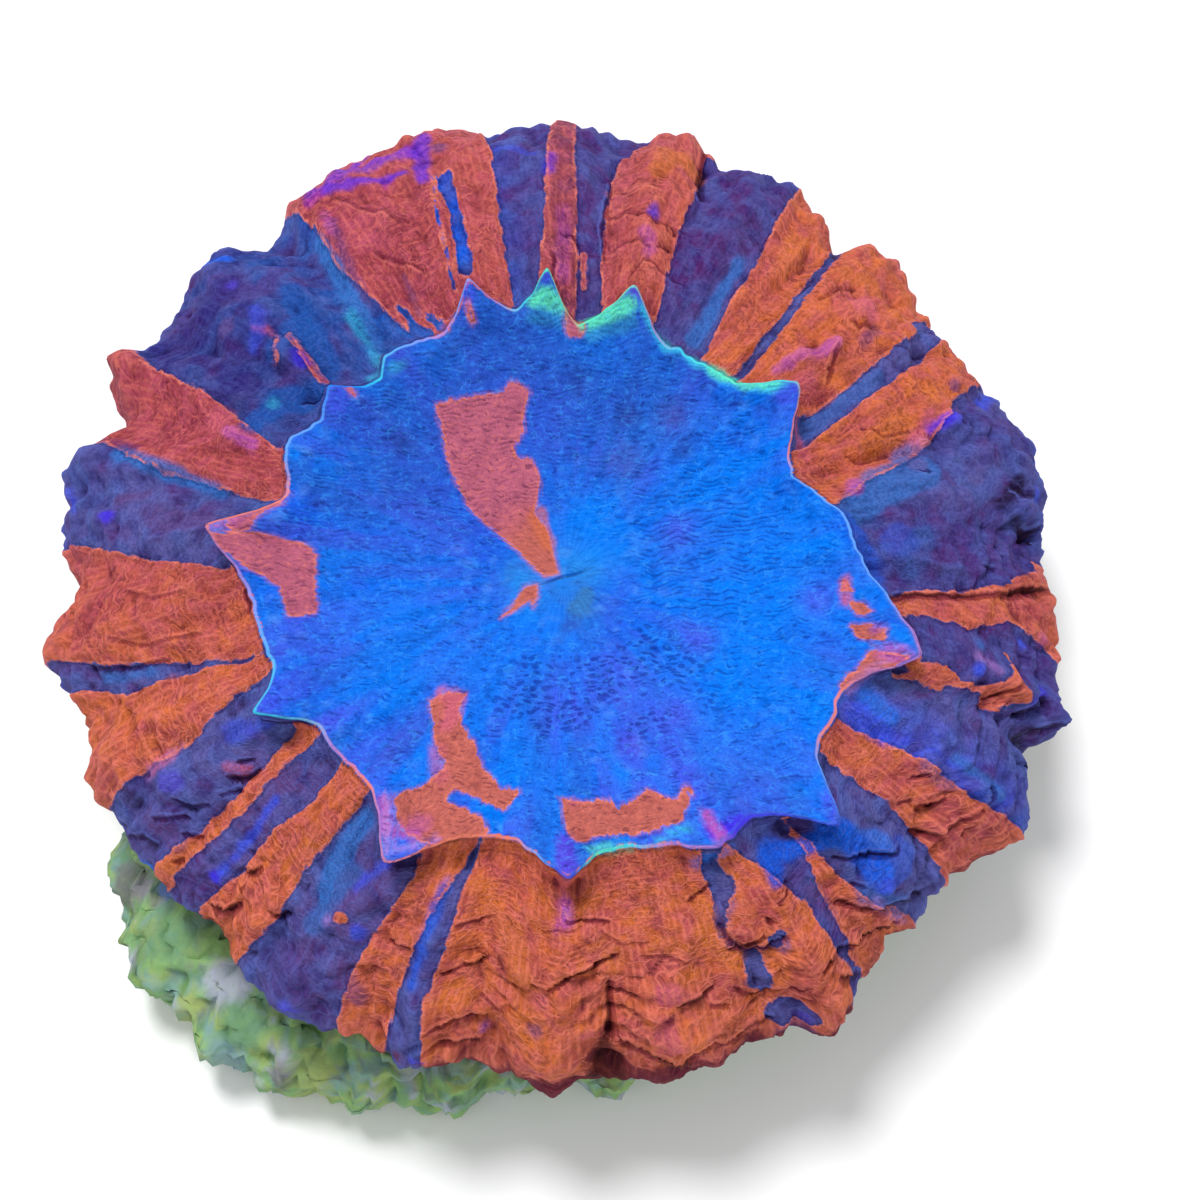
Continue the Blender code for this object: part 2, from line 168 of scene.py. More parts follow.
# Soft washes over both colours: name, strength, then a line of places as above. Later washes lie over
# earlier ones. The almost black washes paint shadow in crevices and dark pockets.
WASHES = (
    # the horns and the crest
    ("mint", 0.95, (97, 0.98, 0.7), (94, 0.93, 1.2), (90, 1, 0.7)),
    ("cobalt", 0.9, (93.5, 1.03, 0.5), (93.5, 0.97, 0.6)),
    ("mint", 0.95, (85, 0.98, 0.7), (80, 0.97, 1.1), (76, 0.95, 0.8)),
    ("glow", 0.6, (84, 0.92, 0.7), (75, 0.9, 0.8)), ("glow", 0.5, (97, 0.92, 0.7), (91, 0.92, 0.8)),
    ("violet", 0.8, (76, 1.05, 0.5), (75, 0.99, 0.7)),
    ("cyan", 0.8, (73, 0.98, 0.3), (65, 1, 0.4), (56, 1, 0.4), (47, 1.02, 0.4), (37, 0.97, 0.4)),
    ("mint", 0.8, (53, 1.01, 0.6), (45, 1.01, 0.8), (40, 1, 0.6)),
    ("cobalt", 0.9, (110, 1, 0.6), (110, 0.97, 0.8)), ("pink", 0.6, (114, 1.03, 0.4), (116, 1.02, 0.5)),
    ("cobalt", 0.8, (143, 0.98, 1), (145, 0.96, 1.2)), ("glow", 0.7, (136, 1.03, 0.4), (129, 0.94, 0.5)),
    ("cobalt", 0.9, (36, 0.98, 0.7), (36, 0.95, 1.1)),
    ("pink", 0.7, (34, 1.04, 0.3), (30, 1.05, 0.5), (24, 1.08, 0.5)),
    ("lilac", 0.7, (342, 0.96, 0.2), (338, 0.98, 0.3), (333, 1.02, 0.3)),
    ("mauve", 0.7, (341, 0.98, 0.6), (341, 0.93, 0.8)), ("violet", 0.6, (345, 0.92, 0.6)),
    ("cobalt", 0.9, (313, 0.99, 0.9), (315, 1, 1)),
    ("vivid", 0.9, (302, 0.99, 0.6), (300, 0.98, 0.8), (296, 0.96, 0.8)),
    ("mauve", 0.9, (297, 0.91, 0.5), (297, 0.98, 0.7)),
    ("mint", 0.65, (275, 0.97, 0.3), (278, 0.99, 0.4), (282, 1.01, 0.2)),
    ("cyan", 0.7, (287, 0.99, 0.3), (293, 0.94, 0.3)),
    ("violet", 0.85, (270.5, 0.98, 0.9), (270.5, 0.9, 0.9)), ("pink", 0.5, (272, 0.78, 0.4)),
    ("mauve", 0.95, (236, 0.97, 0.5), (240, 0.97, 0.7), (244, 0.93, 0.6)),
    ("lilac", 0.9, (236, 0.96, 0.2), (242, 0.98, 0.2), (248, 0.98, 0.2)),
    ("mauve", 0.6, (177, 0.99, 0.4), (175, 0.98, 0.6)), ("lilac", 0.7, (177, 0.99, 0.2), (167, 1, 0.2)),
    ("cobalt", 0.7, (211, 1, 0.8), (210, 0.95, 1)),
    # the disc
    ("pink", 0.75, (228, 0.6, 0.6), (233, 0.58, 0.9), (236, 0.66, 0.8)),
    ("pink", 0.5, (238, 0.73, 0.8), (242, 0.76, 0.8)), ("mauve", 0.4, (244, 0.9, 1.2)),
    ("pink", 0.8, (354, 0.91, 0.4), (350, 0.88, 0.4)), ("ash", 0.5, (313, 0.1, 0.9), (291, 0.13, 1)),
    ("navy", 0.35, (281, 0.17, 0.8), (270, 0.2, 0.5)),
    ("orange", 0.7, (118, 0.13, 0.7), (114, 0.23, 0.9)),
    # the lobe at the back left, with its magenta rim
    ("magenta", 0.9, (122, 1.85, 0.9), (118, 1.86, 1.3), (114, 1.88, 1.4), (109, 1.84, 1.3)),
    ("magenta", 0.6, (113, 1.72, 0.9)),
    ("violet", 0.45, (121, 1.88, 1.2), (116, 1.86, 1.6), (110, 1.84, 1.6)),
    ("vivid", 0.7, (120, 1.83, 0.6), (115, 1.76, 0.6), (111, 1.72, 0.5)),
    ("vivid", 0.9, (120, 1.94, 0.4), (116, 1.91, 0.4), (112, 2.01, 0.3)),
    ("vivid", 0.7, (107, 1.89, 0.9), (109, 1.67, 0.7)), ("plum", 0.7, (105.5, 1.81, 0.8)),
    ("plum", 0.6, (122, 1.69, 0.5), (124.5, 1.45, 0.6), (126, 1.3, 0.5)),
    ("mauve", 0.5, (122, 1.74, 0.4), (123, 1.64, 0.5)), ("pink", 0.3, (119, 1.55, 2.7)),
    ("slate", 0.5, (118, 1.3, 0.1), (119, 1.14, 0.1)),
    # the dark blue lobe beside it
    ("teal", 0.95, (125, 1.7, 0.7), (126, 1.55, 0.9), (128, 1.3, 1.1), (131, 1.07, 1)),
    ("cyan", 0.4, (129, 1.3, 0.5), (132, 1.04, 0.6)),
    ("indigo", 0.7, (138, 1.8, 1.6), (137, 1.6, 1.4), (131, 1.67, 1)), ("purple", 0.6, (144, 1.8, 1.6)),
    ("navy", 0.7, (138, 1.75, 2.2), (145, 1.77, 2.9), (148, 1.86, 2.2)),
    ("navy", 0.5, (143, 1.47, 2), (148, 1.45, 2)), ("blue", 0.9, (136, 1.93, 0.5), (134, 1.86, 0.4)),
    ("plum", 0.6, (143, 1.6, 0.9)), ("violet", 0.7, (137, 1.74, 0.6)), ("vivid", 0.7, (141, 1.26, 0.8)),
    ("pink", 0.8, (141, 1.5, 0.1), (140, 1.44, 0.1), (141, 1.37, 0.1), (143.5, 1.33, 0.1)),
    ("ocean", 0.9, (133, 1.53, 1.2), (136, 1.33, 1.5), (139, 1.17, 1.2)),
    ("ocean", 0.9, (155, 1.23, 1.2), (149, 1.2, 1.6), (145, 1.1, 1.8)),
    ("ocean", 0.7, (137, 1.37, 1.8), (142, 1.36, 1.4)), ("cyan", 0.35, (150, 1.22, 0.5)),
    ("cobalt", 0.5, (139, 1.51, 0.8), (143.5, 1.45, 0.6)),
    # the left side
    ("mauve", 0.8, (158, 1.3, 0.6), (158.5, 1.19, 0.6)), ("pink", 0.5, (156, 1.4, 1.6)),
    ("teal", 0.9, (163.5, 1.74, 0.8), (166, 1.47, 0.8), (168, 1.26, 0.5)),
    ("navy", 0.6, (162, 1.94, 0.7), (163, 1.67, 0.6)), ("plum", 0.7, (170, 1.71, 0.4), (169, 1.58, 0.4)),
    ("vivid", 0.85, (172, 1.74, 0.6)), ("lilac", 0.4, (168, 1.9, 0.4)),
    ("plum", 0.6, (173, 1.5, 1.4), (173.5, 1.24, 1)),
    ("cobalt", 0.7, (167.5, 1.97, 0.4), (170, 1.93, 0.4)),
    ("slate", 0.5, (177, 1.46, 0.5), (178, 1.17, 0.4)),
    ("teal", 0.7, (192.5, 1.82, 0.5), (195, 1.57, 0.4)), ("rose", 0.5, (183, 1.6, 2), (187, 1.85, 1.4)),
    ("magenta", 0.5, (186, 2, 0.6)), ("rust", 0.6, (197.5, 1.5, 0.8), (200, 1.5, 0.8)),
    # the folds at the front left
    ("pink", 0.6, (207, 1.7, 0.7), (207, 1.6, 0.7)), ("lilac", 0.6, (207, 1.76, 0.2), (207, 1.53, 0.3)),
    ("violet", 0.55, (210, 1.63, 1.2)), ("cobalt", 0.5, (209, 1.25, 1.2), (211, 1.08, 0.8)),
    ("maroon", 0.6, (213.5, 1.41, 0.4), (216, 1.39, 0.5)),
    ("pink", 0.6, (213, 1.4, 0.3), (215, 1.36, 0.3)), ("crevice_shadow", 0.5, (208, 1.87, 1.2)),
    ("azure", 0.9, (213.5, 2.04, 0.7)), ("plum", 0.6, (219.5, 1.21, 0.9), (221.5, 1.44, 0.8)),
    ("cobalt", 0.9, (221.5, 1.36, 0.3), (222.5, 1.57, 0.4), (222, 1.84, 0.4)),
    ("vivid", 0.9, (222, 1.83, 0.7)), ("plum", 0.6, (215, 1.84, 1.4), (211.5, 1.84, 1.2)),
    ("crevice_shadow", 0.4, (213, 1.93, 1)),
    ("teal", 0.9, (234.5, 1.12, 1), (234.5, 1.33, 1.2), (235.5, 1.52, 0.8)),
    ("teal", 0.6, (236.5, 1.64, 1), (237.5, 1.34, 1)), ("plum", 0.6, (241, 1.39, 1.2)),
    ("plum", 0.6, (242, 1.75, 1.4), (245, 1.85, 1)), ("indigo", 0.6, (236, 1.8, 1.4), (238.5, 1.88, 1.2)),
    ("lilac", 0.5, (238, 1.56, 0.4)), ("cobalt", 0.7, (239.5, 1.34, 0.4), (241.5, 1.14, 0.4)),
    ("cobalt", 0.8, (242.5, 1.53, 0.8)), ("vivid", 0.8, (238, 1.96, 0.9)), ("plum", 0.5, (237, 1.77, 1)),
    # the wide orange front
    # The maroon and dark brown washes along the front rim are painted shadow under the lobes' overhang.
    ("maroon", 0.9, (273.5, 1.95, 1), (278, 2.01, 1.6), (283, 2.02, 1.5), (287, 2, 1.4),
     (296, 2.05, 0.5)),
    ("maroon", 0.85, (251, 1.98, 0.8), (255, 2.05, 1), (258.5, 1.98, 0.5)),
    ("maroon", 0.6, (262.5, 2.03, 0.4), (267.5, 2.02, 0.7), (271, 2.01, 0.6)),
    ("fold_shadow", 0.85, (275, 1.87, 0.5), (275, 1.96, 1.4), (275, 2.02, 2.1)),
    ("ochre", 0.6, (262.5, 1.44, 1.4), (264, 1.54, 1.2), (266.5, 1.79, 1.6)),
    ("ochre", 0.7, (290, 1.45, 1.2), (292.5, 1.62, 1.2), (290.5, 1.29, 1)),
    ("rust", 0.5, (260, 1.96, 1), (256.5, 1.93, 1)), ("rust", 0.5, (289.5, 1.08, 1), (276, 1.11, 1.2)),
    ("ochre", 0.5, (257, 1.26, 1.2), (259, 1.35, 1.2)),
    ("blue", 0.7, (251.5, 1.21, 0.4), (251, 1.35, 0.6), (251, 1.7, 0.4)),
    ("slate", 0.7, (253.5, 1.15, 0.2), (253, 1.35, 0.2)), ("vivid", 0.7, (253.5, 1.98, 0.7)),
    ("slate", 0.6, (252, 1.81, 0.7), (251.5, 1.93, 0.9)),
    ("pink", 0.6, (270, 1.07, 0.8), (270, 1.3, 0.8)),
    ("mauve", 0.95, (270.5, 1.17, 0.6), (270.5, 1.26, 0.7)), ("lilac", 0.6, (270.5, 1.22, 0.4)),
    ("magenta", 0.5, (269, 1.33, 0.4)), ("rose", 0.5, (266.5, 1.5, 0.8), (267.5, 1.57, 0.7)),
    ("pink", 0.5, (267, 1.66, 0.9)), ("violet", 0.6, (260.5, 1.9, 0.5)),
    ("plum", 0.6, (266.5, 1.79, 0.7)), ("pink", 0.5, (273, 1.83, 0.7)),
    ("maroon", 0.4, (284, 1.12, 0.5), (283.5, 1.28, 0.4), (284, 1.42, 0.4)),
    ("pink", 0.8, (283, 1.67, 1.3)), ("pink", 0.6, (282, 1.78, 0.9), (282.5, 1.9, 1.2)),
    # the nub at the front right and the folds round it
    ("azure", 0.6, (292.5, 1.08, 0.7), (297.5, 1.05, 0.8)), ("plum", 0.4, (298.5, 1.05, 0.4)),
    ("slate", 0.8, (295, 1.21, 0.7), (294, 1.33, 0.7), (292.5, 1.43, 0.5)),
    ("rose", 0.7, (294.5, 1.5, 0.8)),
    ("plum", 0.8, (292.5, 1.43, 0.3), (292.5, 1.54, 0.3), (294, 1.6, 0.3), (297, 1.63, 0.3)),
    ("slate", 0.8, (298.5, 1.61, 0.9)), ("slate", 0.8, (295, 1.68, 0.5), (294, 1.77, 0.9)),
    ("violet", 0.5, (298, 1.98, 1.2)), ("navy", 0.6, (296, 2, 1.2), (298.5, 2.03, 1.1)),
    ("rose", 0.5, (298.5, 1.35, 0.9), (299, 1.47, 0.8)), ("rose", 0.6, (299, 1.76, 1), (299.5, 1.87, 1)),
    # the right side
    ("azure", 0.45, (312.5, 1.22, 1.4), (317, 1.57, 1.2)),
    ("teal", 0.5, (315.5, 1.91, 1.4), (311.5, 1.69, 1.2)),
    ("blue", 0.4, (315, 1.66, 2.2), (318.5, 1.7, 1.6)),
    ("slate", 0.7, (318, 1.98, 1.4), (316.5, 2.13, 1)),
    ("blue", 0.9, (302, 1.29, 0.8), (303.5, 1.17, 1.2), (307.5, 1.26, 1), (314, 1.27, 1.2)),
    ("blue", 0.8, (314, 1.39, 1.4), (314.5, 1.62, 1.4)), ("slate", 0.8, (315.5, 1.91, 2), (319, 1.93, 1)),
    ("cobalt", 0.7, (314, 1.71, 0.8)), ("lilac", 0.4, (312, 1.75, 0.5), (314.5, 1.99, 0.4)),
    ("plum", 0.6, (306, 1.49, 0.7), (306, 1.7, 0.6)),
    ("teal", 0.7, (332.5, 1.58, 0.5), (332.5, 1.83, 0.5)),
    ("slate", 0.45, (330, 1.5, 1), (330, 1.62, 1.2)),
    ("azure", 0.5, (333.5, 1.11, 1.2), (332.5, 1.23, 1)),
    ("cobalt", 0.8, (330, 1.28, 1), (330.5, 1.11, 1.2)), ("cobalt", 0.9, (345, 1.49, 0.6)),
    ("cobalt", 0.8, (351.5, 1.8, 0.4)), ("teal", 0.6, (348.5, 1.54, 0.5)),
    ("lilac", 0.5, (347, 1.5, 0.3), (346, 1.6, 0.3)), ("crevice_shadow", 0.7, (342, 1.94, 1), (340, 2.06, 0.8)),
    ("vivid", 0.7, (347, 1.89, 0.5), (344.5, 1.82, 0.5)), ("rose", 0.6, (356, 1.79, 1.2), (356, 1.91, 1)),
    ("mauve", 0.5, (353.5, 1.9, 0.7)),
    # This maroon line is painted shade in a cleft.
    ("maroon", 0.9, (352.5, 1.13, 0.2), (356, 1.48, 0.2), (1.5, 1.9, 0.2)),
    ("teal", 0.75, (10, 1.08, 1.7), (14, 1.24, 2.3), (15.5, 1.44, 2.1)),
    ("teal", 0.7, (19, 1.4, 0.8), (20.5, 1.52, 0.6)), ("teal", 0.35, (0, 1.27, 1.6), (4, 1.36, 1.4)),
    ("blue", 0.6, (7, 1, 1.6), (359, 1.06, 1.6), (354, 1.05, 0.9)), ("blue", 0.3, (3.5, 1.24, 2)),
    ("cobalt", 0.6, (20, 2.01, 0.3), (11.5, 1.93, 0.3)),
    ("crevice_shadow", 0.85, (8.5, 1.82, 0.5), (7.5, 1.89, 0.5)),
    ("crevice_shadow", 0.85, (13.5, 1.84, 0.9), (10.5, 1.75, 0.6)), ("mauve", 0.8, (15, 1.16, 0.8)),
    ("slate", 0.8, (17, 1.45, 0.9)),
    # the back right
    ("teal", 0.5, (30, 1.1, 1.1), (31, 1.25, 1), (33, 1.5, 0.8)),
    ("ochre", 0.5, (24.5, 1.5, 1.4), (22, 1.32, 1.4)),
    ("vivid", 0.85, (22.5, 1.57, 0.5), (23, 1.68, 0.6)), ("pink", 0.7, (24.5, 1.61, 0.3), (21, 1.5, 0.8)),
    ("pink", 0.6, (30.5, 2, 0.6), (28.5, 2.02, 0.5)),
    ("cobalt", 0.7, (27.5, 2.02, 0.6), (25.5, 1.9, 0.8)), ("plum", 0.7, (28, 1.8, 0.7)),
    ("rose", 0.7, (37.5, 1.15, 1.7), (35, 1.22, 1.4)), ("pink", 0.5, (38.5, 1.2, 1.2)),
    ("ochre", 0.5, (44.5, 1.8, 1.2), (48.5, 1.72, 1.2)),
    ("mauve", 0.8, (43.5, 1.17, 0.4), (42, 1.32, 0.7), (40.5, 1.41, 0.6)), ("pink", 0.75, (43, 1.64, 2)),
    ("plum", 0.5, (39.5, 1.64, 0.5), (38.5, 1.53, 0.5)), ("ochre", 0.5, (57.5, 1.77, 1.2), (56, 1.56, 1)),
    ("rust", 0.5, (56, 1.31, 1.4), (55, 1.47, 1)),
    ("teal", 0.8, (62, 1.46, 0.6), (61.5, 1.3, 0.7), (61, 1.08, 0.9)),
    # the back
    ("ochre", 0.7, (73.5, 1.82, 1.2), (77, 1.8, 1.4), (78, 1.69, 1)),
    ("rust", 0.6, (78.5, 1.43, 1.6), (75, 1.29, 1.8)), ("violet", 0.9, (77, 1.47, 0.5)),
    ("mauve", 0.6, (77, 1.36, 0.8), (76, 1.3, 0.6)), ("maroon", 0.5, (76.5, 1.13, 0.5)),
    # The thin peach lines below are painted highlights along the ridges of stacked folds.
    ("peach", 0.6, (84, 1.49, 0.1), (81, 1.53, 0.1)), ("peach", 0.6, (79.5, 1.44, 0.1), (74, 1.4, 0.1)),
    ("peach", 0.5, (80, 1.21, 0.1), (77, 1.27, 0.1), (73, 1.23, 0.1)),
    ("peach", 0.6, (84, 1.6, 0.1), (80, 1.63, 0.1), (76, 1.54, 0.1)),
    ("mauve", 0.5, (90.5, 1.47, 0.6), (90.5, 1.18, 0.7)),
    ("vivid", 0.5, (92.5, 1.61, 0.6), (92, 1.7, 0.4)),
    ("maroon", 0.4, (91, 1.29, 0.6), (88.5, 1.25, 0.6)),
    ("cobalt", 0.45, (98.5, 1.75, 0.5), (94.5, 1.7, 0.4)),
)  # fmt: skip

# Soft round tones of the disc: name, strength, bearing, station and radius in
# millimetres.
TONES = (
    ("royal", 0.85, 95, 0.8, 11), ("royal", 0.7, 75, 0.62, 9), ("royal", 0.6, 118, 0.75, 9),
    ("royal", 0.6, 140, 0.8, 8), ("royal", 0.6, 152, 0.6, 7), ("royal", 0.45, 60, 0.8, 8),
    ("cobalt", 0.35, 105, 0.55, 7), ("cobalt", 0.3, 165, 0.5, 8), ("violet", 0.3, 280, 0.45, 8),
    ("violet", 0.25, 230, 0.5, 5), ("violet", 0.3, 297, 0.8, 5), ("cobalt", 0.3, 200, 0.8, 6),
    ("azure", 0.8, 5, 0.72, 12), ("azure", 0.8, 340, 0.62, 10), ("azure", 0.7, 320, 0.75, 9),
    ("azure", 0.7, 235, 0.45, 6), ("azure", 0.7, 262, 0.75, 6), ("azure", 0.6, 195, 0.55, 7),
    ("azure", 0.6, 35, 0.55, 8), ("azure", 0.6, 215, 0.72, 6), ("azure", 0.5, 82, 0.9, 5),
    ("navy", 0.35, 113, 0.35, 2), ("violet", 0.5, 330, 0.5, 2.2), ("violet", 0.45, 350, 0.8, 2),
    ("violet", 0.4, 305, 0.62, 2), ("violet", 0.5, 288, 0.65, 1.6), ("navy", 0.5, 68, 0.62, 1.4),
    ("navy", 0.45, 142, 0.72, 1.2), ("plum", 0.35, 55, 0.7, 2), ("plum", 0.3, 62, 0.45, 2.5),
    ("navy", 0.4, 46, 0.62, 1.3), ("navy", 0.35, 86, 0.74, 1.6), ("violet", 0.4, 20, 0.42, 2),
    ("glow", 0.5, 30, 0.07, 3.0), ("glow", 0.4, 190, 0.13, 3.0), ("azure", 0.7, 50, 0.2, 4),
    ("azure", 0.5, 60, 0.2, 4), ("azure", 0.5, 250, 0.25, 5), ("ash", 0.25, 300, 0.14, 2.6),
)  # fmt: skip

# Dark crevices of the mantle, each a line of places (bearing, station, half width in
# millimetres). The skin on the crest's side hangs over the skin on the rim's side.
CREVICES = (
    # the right side
    ((351, 1.03, 0.1), (354, 1.18, 0.2), (355.5, 1.46, 0.2), (357, 1.65, 0.1), (359.5, 1.88, 0.3),
     (1.5, 2.01, 0.1)),
    ((343, 1.81, 0.5), (345, 1.85, 0.6), (346.5, 1.9, 0.3)), ((349, 1.86, 0.2), (350.5, 1.89, 0.1)),
    ((343, 1.94, 0.3), (345, 1.99, 0.3)), ((342.5, 1.63, 0.1), (345.5, 1.69, 0.1)),
    ((340, 1.95, 0.2), (338.5, 1.97, 0.4), (338.5, 2.01, 0.2)), ((340, 1.75, 0.2), (341, 1.8, 0.1)),
    ((337.5, 1.03, 0.1), (341, 1.03, 0.2)), ((332, 1.77, 0.2), (331, 1.81, 0.1)),
    ((12.5, 1.78, 0.1), (11.5, 1.83, 0.2), (12, 1.93, 0.1)), ((4, 1.74, 0.2), (3, 1.78, 0.2)),
    ((7.5, 1.88, 0.2), (7, 1.93, 0.4), (8.5, 1.95, 0.2)), ((1, 1.65, 0.2), (1, 1.71, 0.1)),
    ((16, 1.42, 0.1), (15, 1.44, 0.2), (15.5, 1.48, 0.1)),
    # the front right
    ((321.5, 1.69, 0.1), (324, 1.8, 0.2), (327.5, 1.81, 0.1), (330, 1.81, 0.1)),
    ((325, 1.64, 0.1), (326.5, 1.68, 0.2), (328, 1.68, 0.1)), ((323, 1.54, 0.1), (325, 1.6, 0.1)),
    ((327, 1.49, 0.05), (328, 1.51, 0.2), (329, 1.54, 0.1)), ((326, 1.88, 0.1), (328, 1.86, 0.1)),
    ((308, 1.64, 0.1), (311, 1.78, 0.2), (316, 1.89, 0.4), (319, 1.96, 0.2)),
    ((311, 1.38, 0.1), (314, 1.51, 0.2), (316.5, 1.61, 0.2), (319, 1.67, 0.1)),
    ((301.5, 1.75, 0.1), (304.5, 1.77, 0.2), (307, 1.85, 0.2), (312, 1.92, 0.3), (314.5, 1.98, 0.1)),
    ((303.5, 1.86, 0.1), (304.5, 1.91, 0.2), (307, 2.02, 0.1)), ((311, 1.6, 0.1), (312, 1.66, 0.1)),
    ((303, 1.37, 0.1), (300.5, 1.39, 0.1)), ((298.5, 1.47, 0.2), (298, 1.51, 0.1)),
    ((292.5, 1.43, 0.05), (293, 1.53, 0.1), (294, 1.59, 0.2), (297, 1.62, 0.2), (300, 1.55, 0.05)),
    ((292, 1.57, 0.1), (294, 1.56, 0.2), (297, 1.55, 0.1)), ((289, 1.28, 0.1), (293, 1.2, 0.1)),
    # the front
    ((277, 1.87, 0.2), (280, 1.92, 0.2), (283.5, 1.98, 0.3), (287, 1.92, 0.2), (290, 1.96, 0.1),
     (292, 1.94, 0.2), (295, 1.94, 0.1)),
    ((293, 1.84, 0.1), (296.5, 1.82, 0.2), (299, 1.84, 0.1)),
    ((284, 1.73, 0.2), (286.5, 1.72, 0.3), (289, 1.71, 0.1)), ((288, 1.77, 0.1), (290.5, 1.82, 0.05)),
    ((291.5, 1.75, 0.1), (293.5, 1.85, 0.05)),
    ((276, 1.62, 0.2), (275.5, 1.69, 0.1), (275.5, 1.77, 0.2), (275.5, 1.86, 0.3)),
    ((266, 1.6, 0.1), (268, 1.6, 0.1), (271, 1.53, 0.2), (274, 1.52, 0.25), (277.5, 1.49, 0.1)),
    ((270.5, 1.25, 0.1), (273, 1.27, 0.1), (277, 1.34, 0.1)),
    ((253.5, 1.87, 0.05), (257, 1.84, 0.2), (260.5, 1.84, 0.2)),
    ((253, 1.96, 0.05), (256.5, 1.93, 0.1), (258, 1.93, 0.3), (260, 1.95, 0.3)),
    ((254, 1.63, 0.1), (256.5, 1.62, 0.1), (258.5, 1.62, 0.2), (260, 1.58, 0.05)),
    ((254.5, 1.41, 0.1), (257.5, 1.41, 0.1), (260, 1.39, 0.05)), ((256, 1.55, 0.05), (259.5, 1.56, 0.05)),
    ((246.5, 1.56, 0.15), (248, 1.56, 0.15), (249.5, 1.56, 0.1)),
    # the front left
    ((225, 1.73, 0.1), (226, 1.68, 0.2), (226.5, 1.64, 0.1)), ((225.5, 1.8, 0.1), (226, 1.76, 0.05)),
    ((223.5, 1.93, 0.15), (226, 1.89, 0.3), (226.5, 1.84, 0.1)), ((224, 1.98, 0.1), (225.5, 1.96, 0.1)),
    ((231.5, 1.73, 0.15), (232.5, 1.68, 0.2)), ((213, 1.35, 0.2), (214, 1.29, 0.15)),
    ((214, 1.45, 0.15), (216, 1.38, 0.2), (216, 1.32, 0.1)), ((215, 1.54, 0.1), (216.5, 1.44, 0.15)),
    ((211.5, 1.69, 0.1), (213.5, 1.67, 0.15), (215, 1.61, 0.1)), ((211.5, 1.82, 0.1), (214.5, 1.72, 0.1)),
    ((209.5, 2, 0.1), (212, 1.91, 0.1), (213.5, 1.91, 0.15)), ((215, 1.82, 0.1), (217, 1.75, 0.1)),
    ((207, 2.02, 0.15), (209, 1.98, 0.1)), ((216.5, 1.91, 0.1), (217.5, 1.87, 0.1)),
    # under the crest and down the left side
    ((210.5, 1.02, 0.1), (212, 1.05, 0.15), (216, 1, 0.1)), ((187, 1.01, 0.2), (191.5, 1.02, 0.1)),
    ((177, 1.02, 0.1), (180, 1.02, 0.2), (184, 1, 0.1)), ((147.5, 1.13, 0.1), (143, 1.04, 0.1)),
    ((190.5, 1.84, 0.1), (193, 1.65, 0.1), (194.5, 1.46, 0.05)),
    # the back right
    ((39.5, 1.38, 0.1), (38, 1.31, 0.1)), ((40.5, 1.41, 0.05), (38, 1.33, 0.1), (36, 1.25, 0.05)),
    ((42.5, 1.53, 0.05), (40.5, 1.54, 0.1), (40, 1.63, 0.05)),
    ((73, 1.78, 0.1), (72, 1.72, 0.2), (71.5, 1.69, 0.1)),
    ((74.5, 2.01, 0.05), (73, 1.81, 0.2), (71.5, 1.69, 0.1)), ((74.5, 1.43, 0.05), (72.5, 1.45, 0.1)),
    ((75, 1.33, 0.05), (72.5, 1.38, 0.1)), ((72, 1.28, 0.05), (68, 1.26, 0.05)),
    # fine wrinkles, one or two to a lobe
    ((84, 1.47, 0.05), (80.5, 1.48, 0.05), (76.5, 1.43, 0.05), (71.5, 1.48, 0.05)),
    ((78, 1.2, 0.05), (76.5, 1.26, 0.05), (71.5, 1.27, 0.05)), ((82.5, 1.6, 0.05), (76.5, 1.59, 0.05)),
    ((82, 1.33, 0.05), (79.5, 1.35, 0.05), (76, 1.31, 0.05)),
    ((84, 1.67, 0.05), (84.5, 1.45, 0.1), (83.5, 1.28, 0.05)),
    ((91, 1.34, 0.05), (89, 1.37, 0.1), (88, 1.32, 0.05)),
    ((93, 1.23, 0.05), (91.5, 1.23, 0.1), (93, 1.04, 0.05)),
    ((120, 1.79, 0.05), (118, 1.64, 0.05), (114.5, 1.49, 0.05)),
    ((120, 1.48, 0.05), (118, 1.37, 0.05), (114.5, 1.26, 0.05)),
    ((183, 1.6, 0.05), (185, 1.44, 0.05), (185.5, 1.26, 0.05)),
    ((189, 1.67, 0.05), (191.5, 1.51, 0.05), (192, 1.27, 0.05)),
    ((259.5, 1.76, 0.05), (262, 1.79, 0.05), (264.5, 1.72, 0.05)),
    ((267, 1.35, 0.05), (269.5, 1.31, 0.05), (273, 1.3, 0.05)),
    ((280.5, 1.51, 0.05), (283, 1.51, 0.05), (287, 1.57, 0.05)),
    ((275.5, 1.37, 0.05), (278.5, 1.45, 0.05), (282, 1.44, 0.05)),
    ((25.5, 1.32, 0.05), (22.5, 1.38, 0.05), (22.5, 1.49, 0.05)),
    ((22, 1.21, 0.05), (19.5, 1.27, 0.05), (20, 1.39, 0.05)),
    ((48, 1.52, 0.05), (47.5, 1.62, 0.05), (46, 1.7, 0.05)),
    ((36, 1.54, 0.05), (36, 1.63, 0.05), (34.5, 1.72, 0.05)),
)  # fmt: skip

